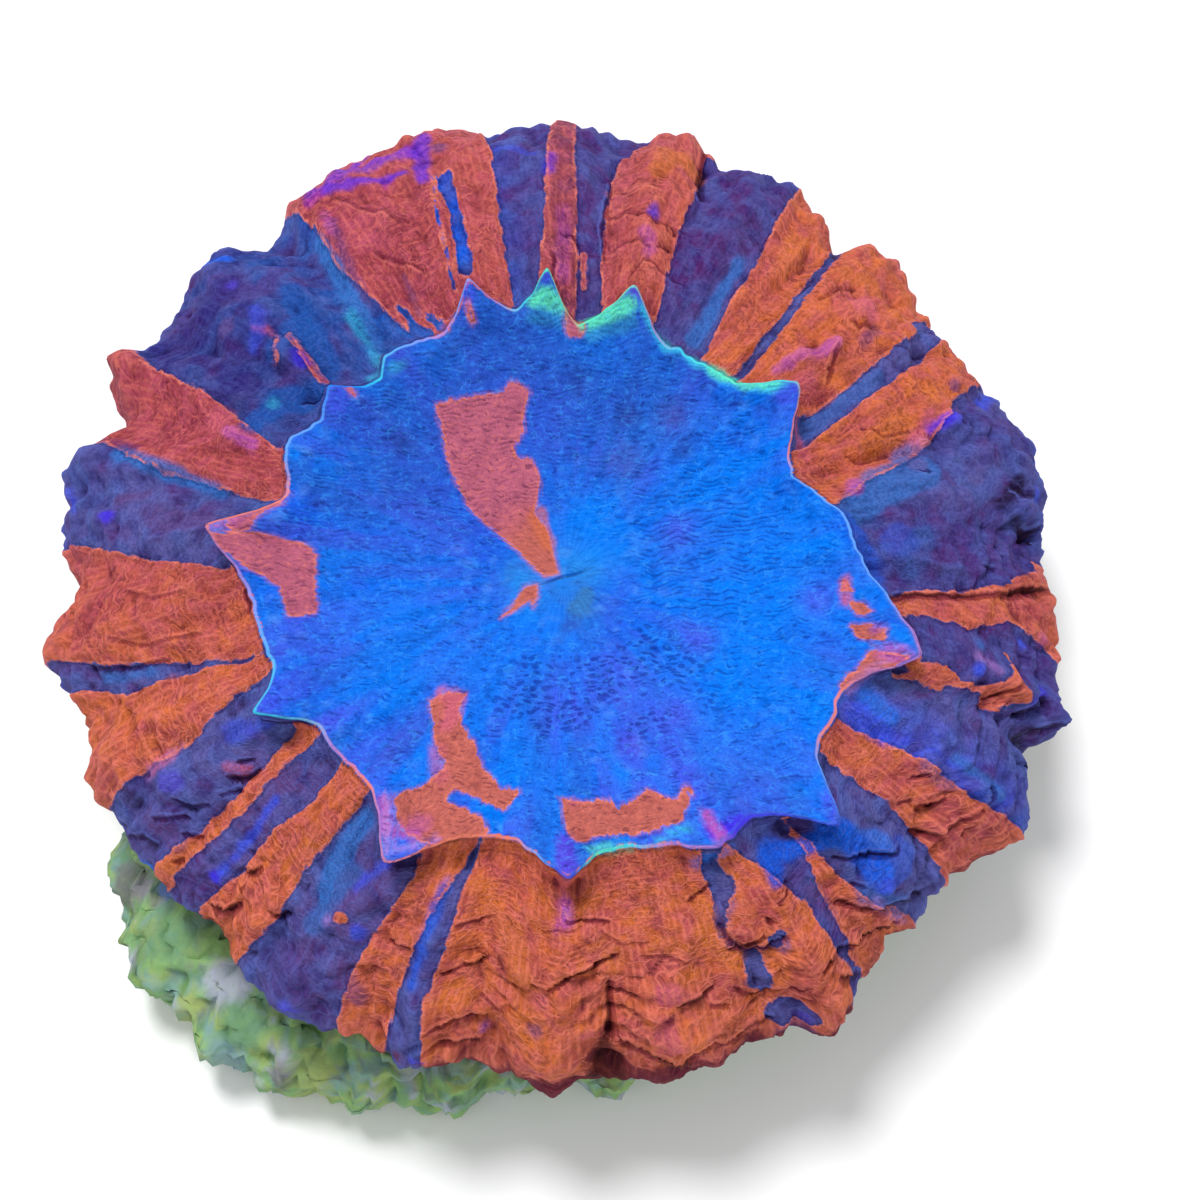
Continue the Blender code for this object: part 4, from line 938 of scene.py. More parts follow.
def orange_depth(bearing, station, smooth, sizes):
    """How far inside an orange part each place lies, below 0 in blue."""
    edge = np.where(station > 1.0, sector_edge(bearing, station), -9.0)
    for outlines, here in ((DISC_OUTLINES, station <= 1.005), (MANTLE_OUTLINES, station > 1.0)):
        for outline in outlines:
            inside = inside_outline(smooth, outline, sizes)
            edge = np.where(here, np.maximum(edge, inside), edge)
    for places in ORANGE_PATCHES:
        edge = np.maximum(edge, inside_line(smooth, places, sizes))
    for places in BLUE_PATCHES:
        edge = np.minimum(edge, -inside_line(smooth, places, sizes))
    return edge


# ------------------------------------------------------------------- mesh making
def ring_stations():
    """Stations of the rings of the skin, closest where the skin shows most."""
    stations, start = [], 0
    for end, rings in DISC_RINGS:
        stations += [start + (end - start) * n / rings for n in range(1, rings + 1)]
        start = end
    for n in range(1, MANTLE_RINGS + 1):
        step = n / MANTLE_RINGS
        stations.append(1 + step * (1 + 0.3 * (1 - step)))
    stations += [2 + TUCK_SHARE * n / TUCK_RINGS for n in range(1, TUCK_RINGS + 1)]
    return np.array(stations + [2.34, 2.4, 2.5, 2.75, 3.0])


def flat_skin(stations, doublings, steps):
    """A flat round sheet whose radius is the station, with finer rings further out."""
    shape = bmesh.new()
    line = [shape.verts.new((0, 0, 0))]
    line += [shape.verts.new((station, 0, 0)) for station in stations]
    edges = [shape.edges.new(pair) for pair in zip(line, line[1:])]
    bmesh.ops.spin(
        shape, geom=line + edges, axis=(0, 0, 1), cent=(0, 0, 0), steps=steps,
        angle=math.tau, use_merge=True,
    )  # fmt: skip
    bmesh.ops.remove_doubles(shape, verts=shape.verts, dist=1e-6)
    for start, end in doublings:
        ring_edges = [
            edge
            for edge in shape.edges
            if start < edge.verts[0].co.length < end
            and abs(edge.verts[0].co.length - edge.verts[1].co.length) < 1e-5
        ]
        bmesh.ops.subdivide_edges(shape, edges=ring_edges, cuts=1, use_grid_fill=True)
        for vertex in shape.verts:
            radius = vertex.co.length
            if radius > 1e-6:
                nearest = stations[np.abs(stations - radius).argmin()]
                vertex.co *= nearest / radius
    return shape


def sheet(name, stations, doublings, steps):
    """A flat sheet's mesh, and the bearing and the station of each of its vertices."""
    mesh = bpy.data.meshes.new(name)
    shape = flat_skin(stations, doublings, steps)
    shape.to_mesh(mesh)
    shape.free()
    east, north, _ = read_points(mesh).T
    return mesh, np.degrees(np.arctan2(north, east)), np.hypot(east, north)


def read_points(mesh):
    flat = np.empty(len(mesh.vertices) * 3, np.float32)
    mesh.vertices.foreach_get("co", flat)
    return flat.reshape(-1, 3).astype(float)


def write_points(mesh, points):
    mesh.vertices.foreach_set("co", points.astype(np.float32).ravel())
    mesh.update()


def neighbour_mean(mesh, values, rounds):
    """Values averaged with their neighbours' along the mesh's edges, several times."""
    ends = np.empty(len(mesh.edges) * 2, np.int32)
    mesh.edges.foreach_get("vertices", ends)
    first, second = ends.reshape(-1, 2).T
    total = len(mesh.vertices)
    count = np.bincount(first, minlength=total) + np.bincount(second, minlength=total)
    values = values.copy()
    for _ in range(rounds):
        for column in range(values.shape[1]):
            part = values[:, column]
            summed = np.bincount(first, part[second], total)
            summed += np.bincount(second, part[first], total)
            values[:, column] = 0.5 * part + 0.5 * summed / count
    return values


def relief_of(mesh, points, rounds):
    """Above 0 on ridges and below 0 in creases, in millimetres."""
    normals = np.empty(len(points) * 3, np.float32)
    mesh.vertices.foreach_get("normal", normals)
    soft = neighbour_mean(mesh, points, rounds)
    return np.sum((points - soft) * normals.reshape(-1, 3), axis=1)


def add_attribute(mesh, name, values):
    """Store one number, or three, for every vertex."""
    kind = "FLOAT" if values.ndim == 1 else "FLOAT_VECTOR"
    layer = mesh.attributes.new(name, kind, "POINT")
    layer.data.foreach_set(
        "value" if values.ndim == 1 else "vector", values.astype(np.float32).ravel()
    )


def close_up(mesh, points):
    """Place the points and join the ends into one closed skin."""
    write_points(mesh, points * MM)
    shape = bmesh.new()
    shape.from_mesh(mesh)
    bmesh.ops.remove_doubles(shape, verts=shape.verts, dist=1e-6)
    bmesh.ops.recalc_face_normals(shape, faces=shape.faces)
    shape.to_mesh(mesh)
    shape.free()


def map_skin(mesh):
    """Lay the skin out flat in a UV map, in metres: round the coral and down its side."""
    total = len(mesh.vertices)
    turn, down = np.empty(total, np.float32), np.empty(total, np.float32)
    mesh.attributes["turn"].data.foreach_get("value", turn)
    mesh.attributes["way_down"].data.foreach_get("value", down)
    corner = np.empty(len(mesh.loops), np.int32)
    mesh.loops.foreach_get("vertex_index", corner)
    starts = np.empty(len(mesh.polygons), np.int32)
    mesh.polygons.foreach_get("loop_start", starts)
    turns = turn[corner]
    widest = np.maximum.reduceat(turns, starts) - np.minimum.reduceat(turns, starts)
    sizes = np.diff(np.append(starts, len(corner)))
    split = np.repeat(widest > math.pi, sizes)
    turns = np.where(split & (turns < 0), turns + math.tau, turns)
    flat = np.stack((turns * ROUND * MM, down[corner] * MM), axis=1)
    layer = mesh.uv_layers.new(name="skin_map")
    layer.data.foreach_set("uv", flat.astype(np.float32).ravel())


def add_piece(name, mesh, material, nodes):
    """Put a finished mesh in the scene as a piece of the root body."""
    mesh.shade_smooth()
    mesh.materials.append(material)
    piece = bpy.data.objects.new(name, mesh)
    bpy.context.scene.collection.objects.link(piece)
    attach(piece, "root")
    if nodes:
        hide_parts(*nodes)
    return piece


def lay_out(bearing, station, lift, slide, sizes):
    """Points of the skin with its lift and slide laid on."""
    step = 0.004
    reach, height = smooth_body(bearing, station, sizes)
    reach_on, height_on = smooth_body(bearing, np.minimum(station + step, 3), sizes)
    reach_back, height_back = smooth_body(bearing, np.maximum(station - step, 0), sizes)
    run, fall = reach_on - reach_back, height_on - height_back
    size = np.maximum(np.hypot(run, fall), 1e-6)
    run, fall = run / size, fall / size
    return stand(reach - fall * lift + run * slide, height + run * lift + fall * slide, bearing)


# ---------------------------------------------------------------------- painting
def sector_edge(bearing, station):
    """How far inside an orange sector of the mantle each place lies, below 0 in a blue one."""
    share = np.clip(station - 1, 0, 1)
    marks = np.linspace(0, 1, 5)
    best = np.full(len(bearing), -99.0)
    borders = BORDERS + (tuple(mark + 360 for mark in BORDERS[0]),)
    for number in range(1, len(BORDERS), 2):
        start = np.interp(share, marks, borders[number])
        end = np.interp(share, marks, borders[number + 1])
        turn = turn_from((start + end) / 2, bearing)
        best = np.maximum(best, (end - start) / 2 - np.abs(turn))
    return np.radians(best) * (CREST_REACH + MANTLE_REACH * share)


def round_colour(table, bearing, palette):
    """Blend the named colours of a closed table at many bearings."""
    marks = np.array([row[0] for row in table], float)
    values = np.array([palette[row[1]] for row in table])
    marks = np.concatenate((marks[-1:] - 360, marks, marks[:1] + 360))
    values = np.concatenate((values[-1:], values, values[:1]))
    columns = [np.interp(bearing % 360, marks, values[:, n]) for n in range(3)]
    return np.stack(columns, axis=1)


def palette_of(colours):
    """The coral's colours by name, as arrays."""
    return {name: np.array(getattr(colours, name)) for name in colours.__annotations__}


def blend(first, second, share):
    """Colours this share of the way from the first ones to the second."""
    return first + (second - first) * share[:, None]


def mottle(coat, palette, points, gain, blotches, where=1.0):
    """A coat with soft blotches: rows of (name, size, seed, cut off, most cover)."""
    for name, size, seed, cut, most in blotches:
        share = np.clip(gain * rough(points, size, seed) - cut, 0, most) * where
        coat = blend(coat, palette[name], share)
    return coat


def disc_coat(bearing, station, points, palette):
    """The blue of the disc: clouds, smudges, and streaks out from the mouth."""
    cloud = np.clip(0.45 + 0.9 * rough(points, 6, 20) + 0.35 * rough(points, 2.2, 21), 0, 1)
    coat = blend(np.broadcast_to(palette["blue"], points.shape), palette["azure"], cloud)
    coat = mottle(coat, palette, points, 1.4, DISC_SMUDGES)
    angle = np.radians(bearing)
    spokes = np.stack((np.cos(angle), np.sin(angle), np.hypot(*points[:, :2].T) / 130), axis=1)
    return mottle(coat, palette, spokes, 2.2, DISC_STREAKS, gate(station, 0.2, 0.45))


def mantle_coat(bearing, station, wrapped, palette):
    """The dark blues of the mantle, darker towards the rim."""
    coat = round_colour(BLUE_ROUND, bearing, palette)
    coat = blend(coat, palette["navy"], 0.45 * gate(station, 1.5, 2.1))
    coat = blend(coat, palette["teal"], 0.25 * (1 - gate(station, 1.05, 1.3)))
    return mottle(coat, palette, wrapped, 1.3, MANTLE_BLOTCHES)


def warm_coat(bearing, station, wrapped, mantle, palette):
    """The oranges and reds of the mantle and of the disc, with maroon painted shade along the rim,
    strongest at the front.
    """
    coat = round_colour(ORANGE_ROUND, bearing, palette)
    front = 1 - gate(np.cos(np.radians(bearing - 120)), 0.0, 0.5)
    for blotch in WARM_BLOTCHES:
        where = mantle * front if blotch[0] == "ochre" else mantle
        coat = mottle(coat, palette, wrapped, 1.4, (blotch,), where)
    back = gate(np.cos(np.radians(bearing - 140)), 0.4, 0.6) * gate(station, 0.16, 0.34)
    on_disc = blend(np.broadcast_to(palette["coral"], coat.shape), palette["salmon"], back)
    coat = blend(coat, on_disc, 1 - mantle)
    # Painted shade: the rim turns maroon where it hangs in shadow, most at the front.
    lower = gate(np.cos(np.radians(bearing - 280)), 0.4, 0.95)
    hem = gate(station + 0.06 * rough(wrapped, 2.5, 33), 2.0 - 0.03 * lower, 2.1 - 0.05 * lower)
    return blend(coat, palette["maroon"], (0.55 + 0.4 * lower) * hem)


def paint_flesh(bearing, station, points, smooth, sizes, palette):
    """The colours of the flesh's orange and blue coats at each vertex."""
    wrapped = wrap(bearing, station)
    mantle = gate(station, 0.995, 1.01)
    warm = warm_coat(bearing, station, wrapped, mantle, palette)
    cool = disc_coat(bearing, station, points, palette)
    cool = blend(cool, mantle_coat(bearing, station, wrapped, palette), mantle)
    # Painted shade on the underside where the rim turns under.
    cool = blend(cool, palette["crevice_shadow"], 0.6 * gate(station, 2.02, 2.2))
    ragged = 0.25 * rough(points, 3, 29)
    for name, strength, place, spot, radius in TONES:
        away = np.linalg.norm(smooth - on_skin(place, spot, sizes), axis=1) / radius + ragged
        share = strength * np.exp(-(np.maximum(away, 0) ** 2)) * (1 - mantle)
        cool = blend(cool, palette[name], share)
    ragged = 0.35 * rough(points, 1.3, 24)
    for name, strength, *places in WASHES:
        wash = strength * gate(inside_line(smooth, places, sizes) + ragged, -0.55, 0.3)
        cool = blend(cool, palette[name], wash)
        warm = blend(warm, palette[name], wash * 0.9)
    return warm, cool


# --------------------------------------------------------------------- materials
class Board:
    """Adds nodes to a shader tree and links them, one line for each."""

    def __init__(self, tree, colours=None):
        self.tree = tree
        self.colours = colours

    def tone(self, name):
        """One of the coral's colours, opaque."""
        return (*getattr(self.colours, name), 1)

    def node(self, kind, **settings):
        """A new node of this kind, with these settings."""
        made = self.tree.nodes.new("ShaderNode" + kind)
        for name, value in settings.items():
            setattr(made, name, value)
        return made

    def feed(self, made, **values):
        """Link or set inputs: a name with _ for spaces, or n and a socket's number."""
        for name, value in values.items():
            numbered = name[0] == "n" and name[1:].isdigit()
            socket = made.inputs[int(name[1:])] if numbered else made.inputs[name.replace("_", " ")]
            if isinstance(value, bpy.types.NodeSocket):
                self.tree.links.new(value, socket)
            else:
                socket.default_value = value
        return made

    def maths(self, operation, first, second=0.0):
        made = self.node("Math", operation=operation)
        return self.feed(made, n0=first, n1=second).outputs[0]

    def times(self, first, second):
        return self.maths("MULTIPLY", first, second)

    def both(self, first, second):
        return self.maths("MAXIMUM", first, second)

    def off(self, value, middle=0.5):
        """How far a value is from a middle, whichever way."""
        return self.maths("ABSOLUTE", self.minus(value, middle))

    def ramp(self, value, low, high, start=0.0, end=1.0):
        made = self.node("MapRange", interpolation_type="SMOOTHSTEP")
        made = self.feed(
            made, Value=value, From_Min=low, From_Max=high, To_Min=start, To_Max=end
        )
        return made.outputs["Result"]

    def mix(self, share, first, second, way="MIX"):
        made = self.node("Mix", data_type="RGBA", blend_type=way)
        return self.feed(made, n0=share, n6=first, n7=second).outputs[2]

    def multiply(self, first, second):
        return self.mix(1.0, first, second, "MULTIPLY")

    def minus(self, first, second):
        return self.maths("SUBTRACT", first, second)

    def bump(self, shader, distance, height, strength=1.0):
        """Fine relief in the shader's normal, up to this many metres high."""
        made = self.node("Bump")
        made = self.feed(made, Distance=distance, Strength=strength, Height=height)
        self.feed(shader, Normal=made.outputs["Normal"])

    def blend(self, share, first, second):
        made = self.node("Mix", data_type="FLOAT")
        return self.feed(made, n0=share, n2=first, n3=second).outputs[0]

    def attribute(self, name, output="Fac"):
        return self.node("Attribute", attribute_name=name).outputs[output]

    def noise(self, vector, scale, detail=2.0, roughness=0.5, output="Fac", solid=False):
        """Soft noise, so many blotches to a millimetre; solid noise also changes with depth."""
        made = self.node("TexNoise", noise_dimensions="3D" if solid else "2D")
        made = self.feed(
            made, Vector=vector, Scale=scale / MM, Detail=detail, Roughness=roughness
        )
        return made.outputs[output]

    def warp(self, vector, scale, most):
        """The vector pushed about by soft noise, by up to this many millimetres."""
        push = self.noise(vector, scale, 0.0, output="Color")
        made = self.node("VectorMath", operation="MULTIPLY_ADD")
        made = self.feed(made, n0=push, n1=(2 * most * MM,) * 3, n2=vector)
        return made.outputs["Vector"]

    def cells(self, vector, size, feature="F1", randomness=1.0):
        """Distance, in cells this many millimetres wide, from cells' middles or edges."""
        made = self.node("TexVoronoi", feature=feature, voronoi_dimensions="2D")
        made = self.feed(made, Vector=vector, Scale=1 / (size * MM), Randomness=randomness)
        return made.outputs["Distance"]

    def bands(self, vector, spacing, direction, wander, fineness):
        """Wavy bands this many millimetres apart, from 0 to 1 and back."""
        made = self.node("TexWave", wave_type="BANDS", bands_direction=direction)
        scale = math.tau / 20 / (spacing * MM)
        made = self.feed(
            made, Vector=vector, Scale=scale, Distortion=wander, Detail=1.0,
            Detail_Scale=fineness, Detail_Roughness=0.6,
        )  # fmt: skip
        return made.outputs["Fac"]

    def stretch(self, vector, scale):
        made = self.feed(self.node("Mapping"), Vector=vector, Scale=scale)
        return made.outputs["Vector"]

    def group(self, tree, **inputs):
        return self.feed(self.node("Group", node_tree=tree), **inputs).outputs[0]


def new_group(name, inputs, output):
    """A shader node group with named sockets, its board, and its inlet and outlet."""
    tree = bpy.data.node_groups.new(name, "ShaderNodeTree")
    for label, kind, default in inputs:
        socket = tree.interface.new_socket(label, in_out="INPUT", socket_type=kind)
        if default is not None:
            socket.default_value = default
    tree.interface.new_socket(output[0], in_out="OUTPUT", socket_type=output[1])
    inlet = tree.nodes.new("NodeGroupInput")
    outlet = tree.nodes.new("NodeGroupOutput")
    return tree, Board(tree), inlet.outputs, outlet


def crease_group():
    """Paints shade into a colour's creases and a highlight on its ridges, by the relief attribute."""
    tree, board, inlet, outlet = new_group(
        "Crease shading",
        (("Color", "NodeSocketColor", None), ("Relief", "NodeSocketFloat", 0.0),
         ("Shadow", "NodeSocketColor", None), ("Glint", "NodeSocketColor", None),
         ("Shadow depth", "NodeSocketFloat", 0.5), ("Glint strength", "NodeSocketFloat", 0.2)),
        ("Color", "NodeSocketColor"),
    )  # fmt: skip
    shade = board.times(board.ramp(inlet["Relief"], -0.03, -0.45), inlet["Shadow depth"])
    shine = board.times(board.ramp(inlet["Relief"], 0.08, 0.5), inlet["Glint strength"])
    dark = board.multiply(inlet["Color"], inlet["Shadow"])
    shaded = board.mix(shade, inlet["Color"], dark)
    board.feed(outlet, Color=board.mix(shine, shaded, inlet["Glint"]))
    return tree


def principled(name, roughness, specular, colours=None, kind=Board):
    """A new material, a board for its tree, and its shader."""
    material = bpy.data.materials.new(name)
    material.use_nodes = True
    board = kind(material.node_tree, colours)
    shader = material.node_tree.nodes["Principled BSDF"]
    shader.inputs["Roughness"].default_value = roughness
    shader.inputs["Specular IOR Level"].default_value = specular
    return material, board, shader


class FleshBoard(Board):
    """A board for the flesh, with the values that several of its coats share."""

    def __init__(self, tree, colours):
        super().__init__(tree, colours)
        self.position = self.node("TexCoord").outputs["Object"]
        self.skin = self.attribute("skin", "Vector")
        self.flat = self.node("UVMap", uv_map="skin_map").outputs["UV"]
        self.mantle = self.attribute("mantle")
        ragged = self.noise(self.stretch(self.skin, (1, 1, 0.6)), 0.9, 4.0, 0.65, solid=True)
        ragged = self.times(self.minus(ragged, 0.5), 1.5)
        self.border = self.maths("ADD", self.attribute("orange_depth"), ragged)
        self.is_orange = self.ramp(self.border, -0.07, 0.07)
        self.is_blue = self.minus(1.0, self.is_orange)
        self.faded = self.noise(self.flat, 0.5)
        self.shred = self.noise(self.stretch(self.position, (0.6, 1, 1)), 1.6, 4.0, 0.65)
        self.grain = self.noise(self.flat, 2.2, 3.0, 0.6)
        self.pale = self.either("peach", "mist")

    def either(self, orange, blue):
        """One colour on the orange flesh and the other on the blue."""
        return self.mix(self.is_orange, self.tone(blue), self.tone(orange))

    def two_coats(self):
        """The orange and the blue, with a bright line and a dark one where they meet, standing for a
        painted highlight and painted shade along the border, and a halo.
        """
        blue, orange = self.attribute("blue_coat", "Color"), self.attribute("orange_coat", "Color")
        coat = self.mix(self.is_orange, blue, orange)
        line = self.ramp(self.off(self.border, 0.1), 0.25, 0.03)
        line = self.times(line, self.ramp(self.faded, 0.4, 0.6, 0.1, 0.7))
        coat = self.mix(line, coat, self.tone("peach"))
        line = self.times(self.ramp(self.off(self.border, -0.2), 0.22, 0.0), 0.4)
        coat = self.mix(line, coat, self.multiply(coat, self.tone("plum")))
        halo = self.times(self.ramp(self.border, -0.5, -0.05, 0.0, 0.4), self.is_blue)
        return self.mix(self.blend(self.mantle, halo, 0.0), coat, self.tone("lilac"))

    def mantle_marks(self):
        """A loose net, the net with threads down and across in places, and small pits."""
        loose = self.warp(self.flat, 0.7, 0.8)
        patchy = self.noise(self.skin, 0.2, 1.0, solid=True)
        calm = self.blend(self.attribute("edge_glow"), 1.0, 0.55)
        net = self.ramp(self.cells(loose, 1.5, "DISTANCE_TO_EDGE"), 0.13, 0.01)
        net = self.times(net, self.times(self.ramp(self.faded, 0.36, 0.56), calm))
        down = self.ramp(self.bands(self.flat, 0.85, "X", 2.6, 0.5), 0.4, 1.0)
        down = self.times(down, self.ramp(patchy, 0.46, 0.56))
        across = self.ramp(self.bands(self.flat, 0.8, "Y", 2.6, 0.5), 0.45, 1.0)
        across = self.times(across, self.ramp(patchy, 0.5, 0.4))
        threaded = self.times(self.ramp(self.faded, 0.66, 0.45, 0.0, 0.8), calm)
        weave = self.both(net, self.times(self.both(down, across), threaded))
        pits = self.ramp(self.cells(self.stretch(loose, (1, 1.4, 1)), 0.8), 0.42, 0.16)
        pits = self.times(pits, self.ramp(patchy, 0.56, 0.44, 0.1, 1.0))
        return net, weave, pits

    def disc_marks(self):
        """The disc's ripples, then all its dark marks, painted shade along the ripples and in dimples
        with dark squiggles, and its pale ones, with rays inside.
        """
        adrift = self.warp(self.position, 0.4, 0.7)
        ripple = self.bands(adrift, 0.6, "Y", 4.0, 0.5)
        broken = self.noise(self.stretch(self.position, (0.5, 1, 1)), 1.1, 1.0)
        rippled = self.both(self.ramp(self.faded, 0.5, 0.58), self.attribute("rippled"))
        lines = self.times(self.ramp(ripple, 0.5, 0.08), self.ramp(broken, 0.4, 0.52))
        dashes = self.cells(self.stretch(adrift, (0.62, 1.15, 1)), 0.88, "F1", 0.8)
        dashed = self.both(self.attribute("dimpled"), self.ramp(broken, 0.6, 0.7, 0.0, 0.9))
        dashes = self.times(self.ramp(dashes, 0.4, 0.22), dashed)
        wiggle = self.noise(self.stretch(adrift, (0.7, 1, 1)), 0.95, 1.0)
        squiggles = self.ramp(self.off(wiggle), 0.04, 0.008)
        pale_side = self.ramp(self.noise(self.position, 0.6, 1.0), 0.48, 0.56)
        rays = self.bands(self.flat, ROUND * math.tau / MOUTH_RAYS, "X", 3.0, 0.2)
        near_mouth = self.attribute("near_mouth")
        dark = self.both(self.times(lines, rippled), self.times(dashes, 1.15))
        dark = self.both(dark, self.times(squiggles, self.blend(pale_side, 0.5, 0.0)))
        dark = self.blend(near_mouth, dark, self.times(self.ramp(rays, 0.3, 0.08), 0.3))
        pale = self.times(squiggles, self.times(pale_side, 0.28))
        pale = self.blend(near_mouth, pale, self.ramp(rays, 0.75, 1.0, 0.0, 0.1))
        return ripple, dark, pale

    def wrinkle_shade_and_grain(self, coat, dark, pits):
        """The coat darkened: painted shade in the disc's ripples and dimples and in the mantle's pits,
        and a random coarse grain.
        """
        marks = self.both(self.times(dark, 0.8), self.ramp(self.shred, 0.47, 0.3, 0.0, 0.6))
        pits = self.times(pits, self.blend(self.is_orange, 0.5, 0.75))
        coarse = self.ramp(self.grain, 0.6, 0.36, 0.0, self.blend(self.mantle, 0.35, 0.5))
        share = self.both(self.blend(self.mantle, marks, pits), coarse)
        return self.mix(share, coat, self.multiply(coat, WRINKLE_AND_GRAIN_SHADE))

    def lively(self, coat):
        """Low on dark red flesh, and 1 elsewhere."""
        red = self.feed(self.node("SeparateColor"), Color=coat).outputs["Red"]
        return self.blend(self.is_orange, 1.0, self.ramp(red, 0.1, 0.35, 0.1, 1.0))

    def crevices(self, coat, bright, lively):
        """Crevices: a dark line of painted shadow in the gap, a painted highlight on the lip above it and
        painted shade below it.
        """
        jagged = self.times(self.minus(self.noise(self.flat, 0.9, 2.0), 0.5), 0.4)
        gap = self.maths("ADD", self.attribute("crevice_gap"), jagged)
        half = self.attribute("crevice_half")
        real = self.ramp(half, -0.02, 0.1)
        lip = self.ramp(self.off(gap, self.minus(-0.28, half)), 0.22, 0.04)
        lip = self.times(self.times(lip, real), 0.4)
        coat = self.mix(self.times(lip, lively), coat, bright)
        below = self.times(self.ramp(gap, 1.6, 0.05), self.times(self.ramp(gap, -0.1, 0.1), real))
        coat = self.mix(self.times(below, 0.85), coat, self.multiply(coat, LIP_SHADE))
        cut = self.ramp(self.minus(half, self.maths("ABSOLUTE", gap)), -0.1, 0.06)
        cut = self.times(cut, self.ramp(half, 0.04, 0.3, 0.35, 0.92))
        return self.mix(cut, coat, self.either("fold_shadow", "crevice_shadow"))

    def hollows(self, coat, lively):
        """Painted shade in the hollows between lobes and a faint painted highlight on top of them."""
        hollow = self.attribute("hollow")
        deep = self.ramp(hollow, -0.05, -1.1, 0.0, 0.9)
        coat = self.mix(deep, coat, self.multiply(coat, HOLLOW_SHADE))
        crown = self.times(self.ramp(hollow, 0.15, 1.1, 0.0, 0.2), lively)
        return self.mix(crown, coat, self.pale)

    def edges(self, coat):
        """The crest's bright line with a strip of painted shade just past it, a painted highlight at
        grazing angles on the far edges, and the slit of the mouth painted dark as its shadow.
        """
        past_crest = self.attribute("crest_gap")
        hem = self.times(self.ramp(self.off(past_crest), 0.4, 0.1), 0.4)
        coat = self.mix(hem, coat, self.tone("crevice_shadow"))
        line = self.times(self.ramp(self.off(past_crest, 0.0), 0.3, 0.1), 0.85)
        coat = self.mix(line, coat, self.attribute("crest_coat", "Color"))
        facing = self.feed(self.node("LayerWeight"), Blend=0.2).outputs["Facing"]
        glow = self.times(self.ramp(facing, 0.45, 0.95, 0.0, 0.6), self.attribute("edge_glow"))
        coat = self.mix(glow, coat, self.either("pink", "cobalt"))
        slit = self.ramp(self.off(self.attribute("slit_gap"), 0.0), 0.1, 0.03, 0.0, 0.75)
        return self.mix(self.times(slit, self.attribute("slit")), coat, SLIT_SHADOW)


def flesh_material(colours, sizes, creases):
    """Fluorescent orange and blue skin with a net of threads, ripples, pits and crevices, and painted
    shade and highlights on its relief.
    """
    material, board, shader = principled("coral_flesh", 0.6, 0.03, colours, FleshBoard)
    net, weave, pits = board.mantle_marks()
    ripple, dark, pale = board.disc_marks()
    coat = board.wrinkle_shade_and_grain(board.two_coats(), dark, pits)
    lively = board.lively(coat)
    bright = board.either("peach", "glint")
    bright = board.mix(board.times(board.mantle, board.is_blue), bright, board.tone("mist"))
    lit = board.both(pale, board.ramp(board.shred, 0.56, 0.72, 0.0, 0.3))
    weave = board.times(weave, board.blend(board.is_orange, 0.22, 0.5))
    lit = board.times(board.blend(board.mantle, lit, weave), lively)
    coat = board.group(
        creases, Color=board.mix(lit, coat, bright), Relief=board.attribute("relief"),
        Shadow=CREASE_SHADE, Glint=board.pale, Shadow_depth=0.85,
        Glint_strength=board.times(lively, 0.22),
    )  # fmt: skip
    coat = board.crevices(coat, bright, lively)
    coat = board.edges(board.hollows(coat, lively))
    board.feed(shader, Base_Color=coat)
    on_disc = board.minus(board.times(board.shred, 0.9), board.times(ripple, -0.25))
    on_mantle = board.maths("ADD", board.times(net, 0.4), board.grain)
    board.bump(shader, sizes.wrinkle_depth, board.blend(board.mantle, on_disc, on_mantle), 0.8)
    return material


def crust_material(colours, creases):
    """Soft green algae over lilac, yellow and blue green crust."""
    material, board, shader = principled("coral_crust", 0.85, 0.1, colours)
    position = board.node("TexCoord").outputs["Object"]
    fine = board.noise(position, 0.9, 3.0, 0.55, solid=True)
    coat = board.attribute("crust_coat", "Color")
    coat = board.mix(board.ramp(fine, 0.5, 0.8, 0.0, 0.3), coat, board.tone("lime"))
    coat = board.mix(board.ramp(fine, 0.45, 0.25, 0.0, 0.35), coat, board.tone("fern"))
    coat = board.group(
        creases, Color=coat, Relief=board.attribute("relief"), Shadow=CRUST_SHADE,
        Glint=board.tone("lime"), Shadow_depth=0.7, Glint_strength=0.05,
    )  # fmt: skip
    board.feed(shader, Base_Color=coat)
    board.bump(shader, CRUST_GRAIN, fine)
    return material


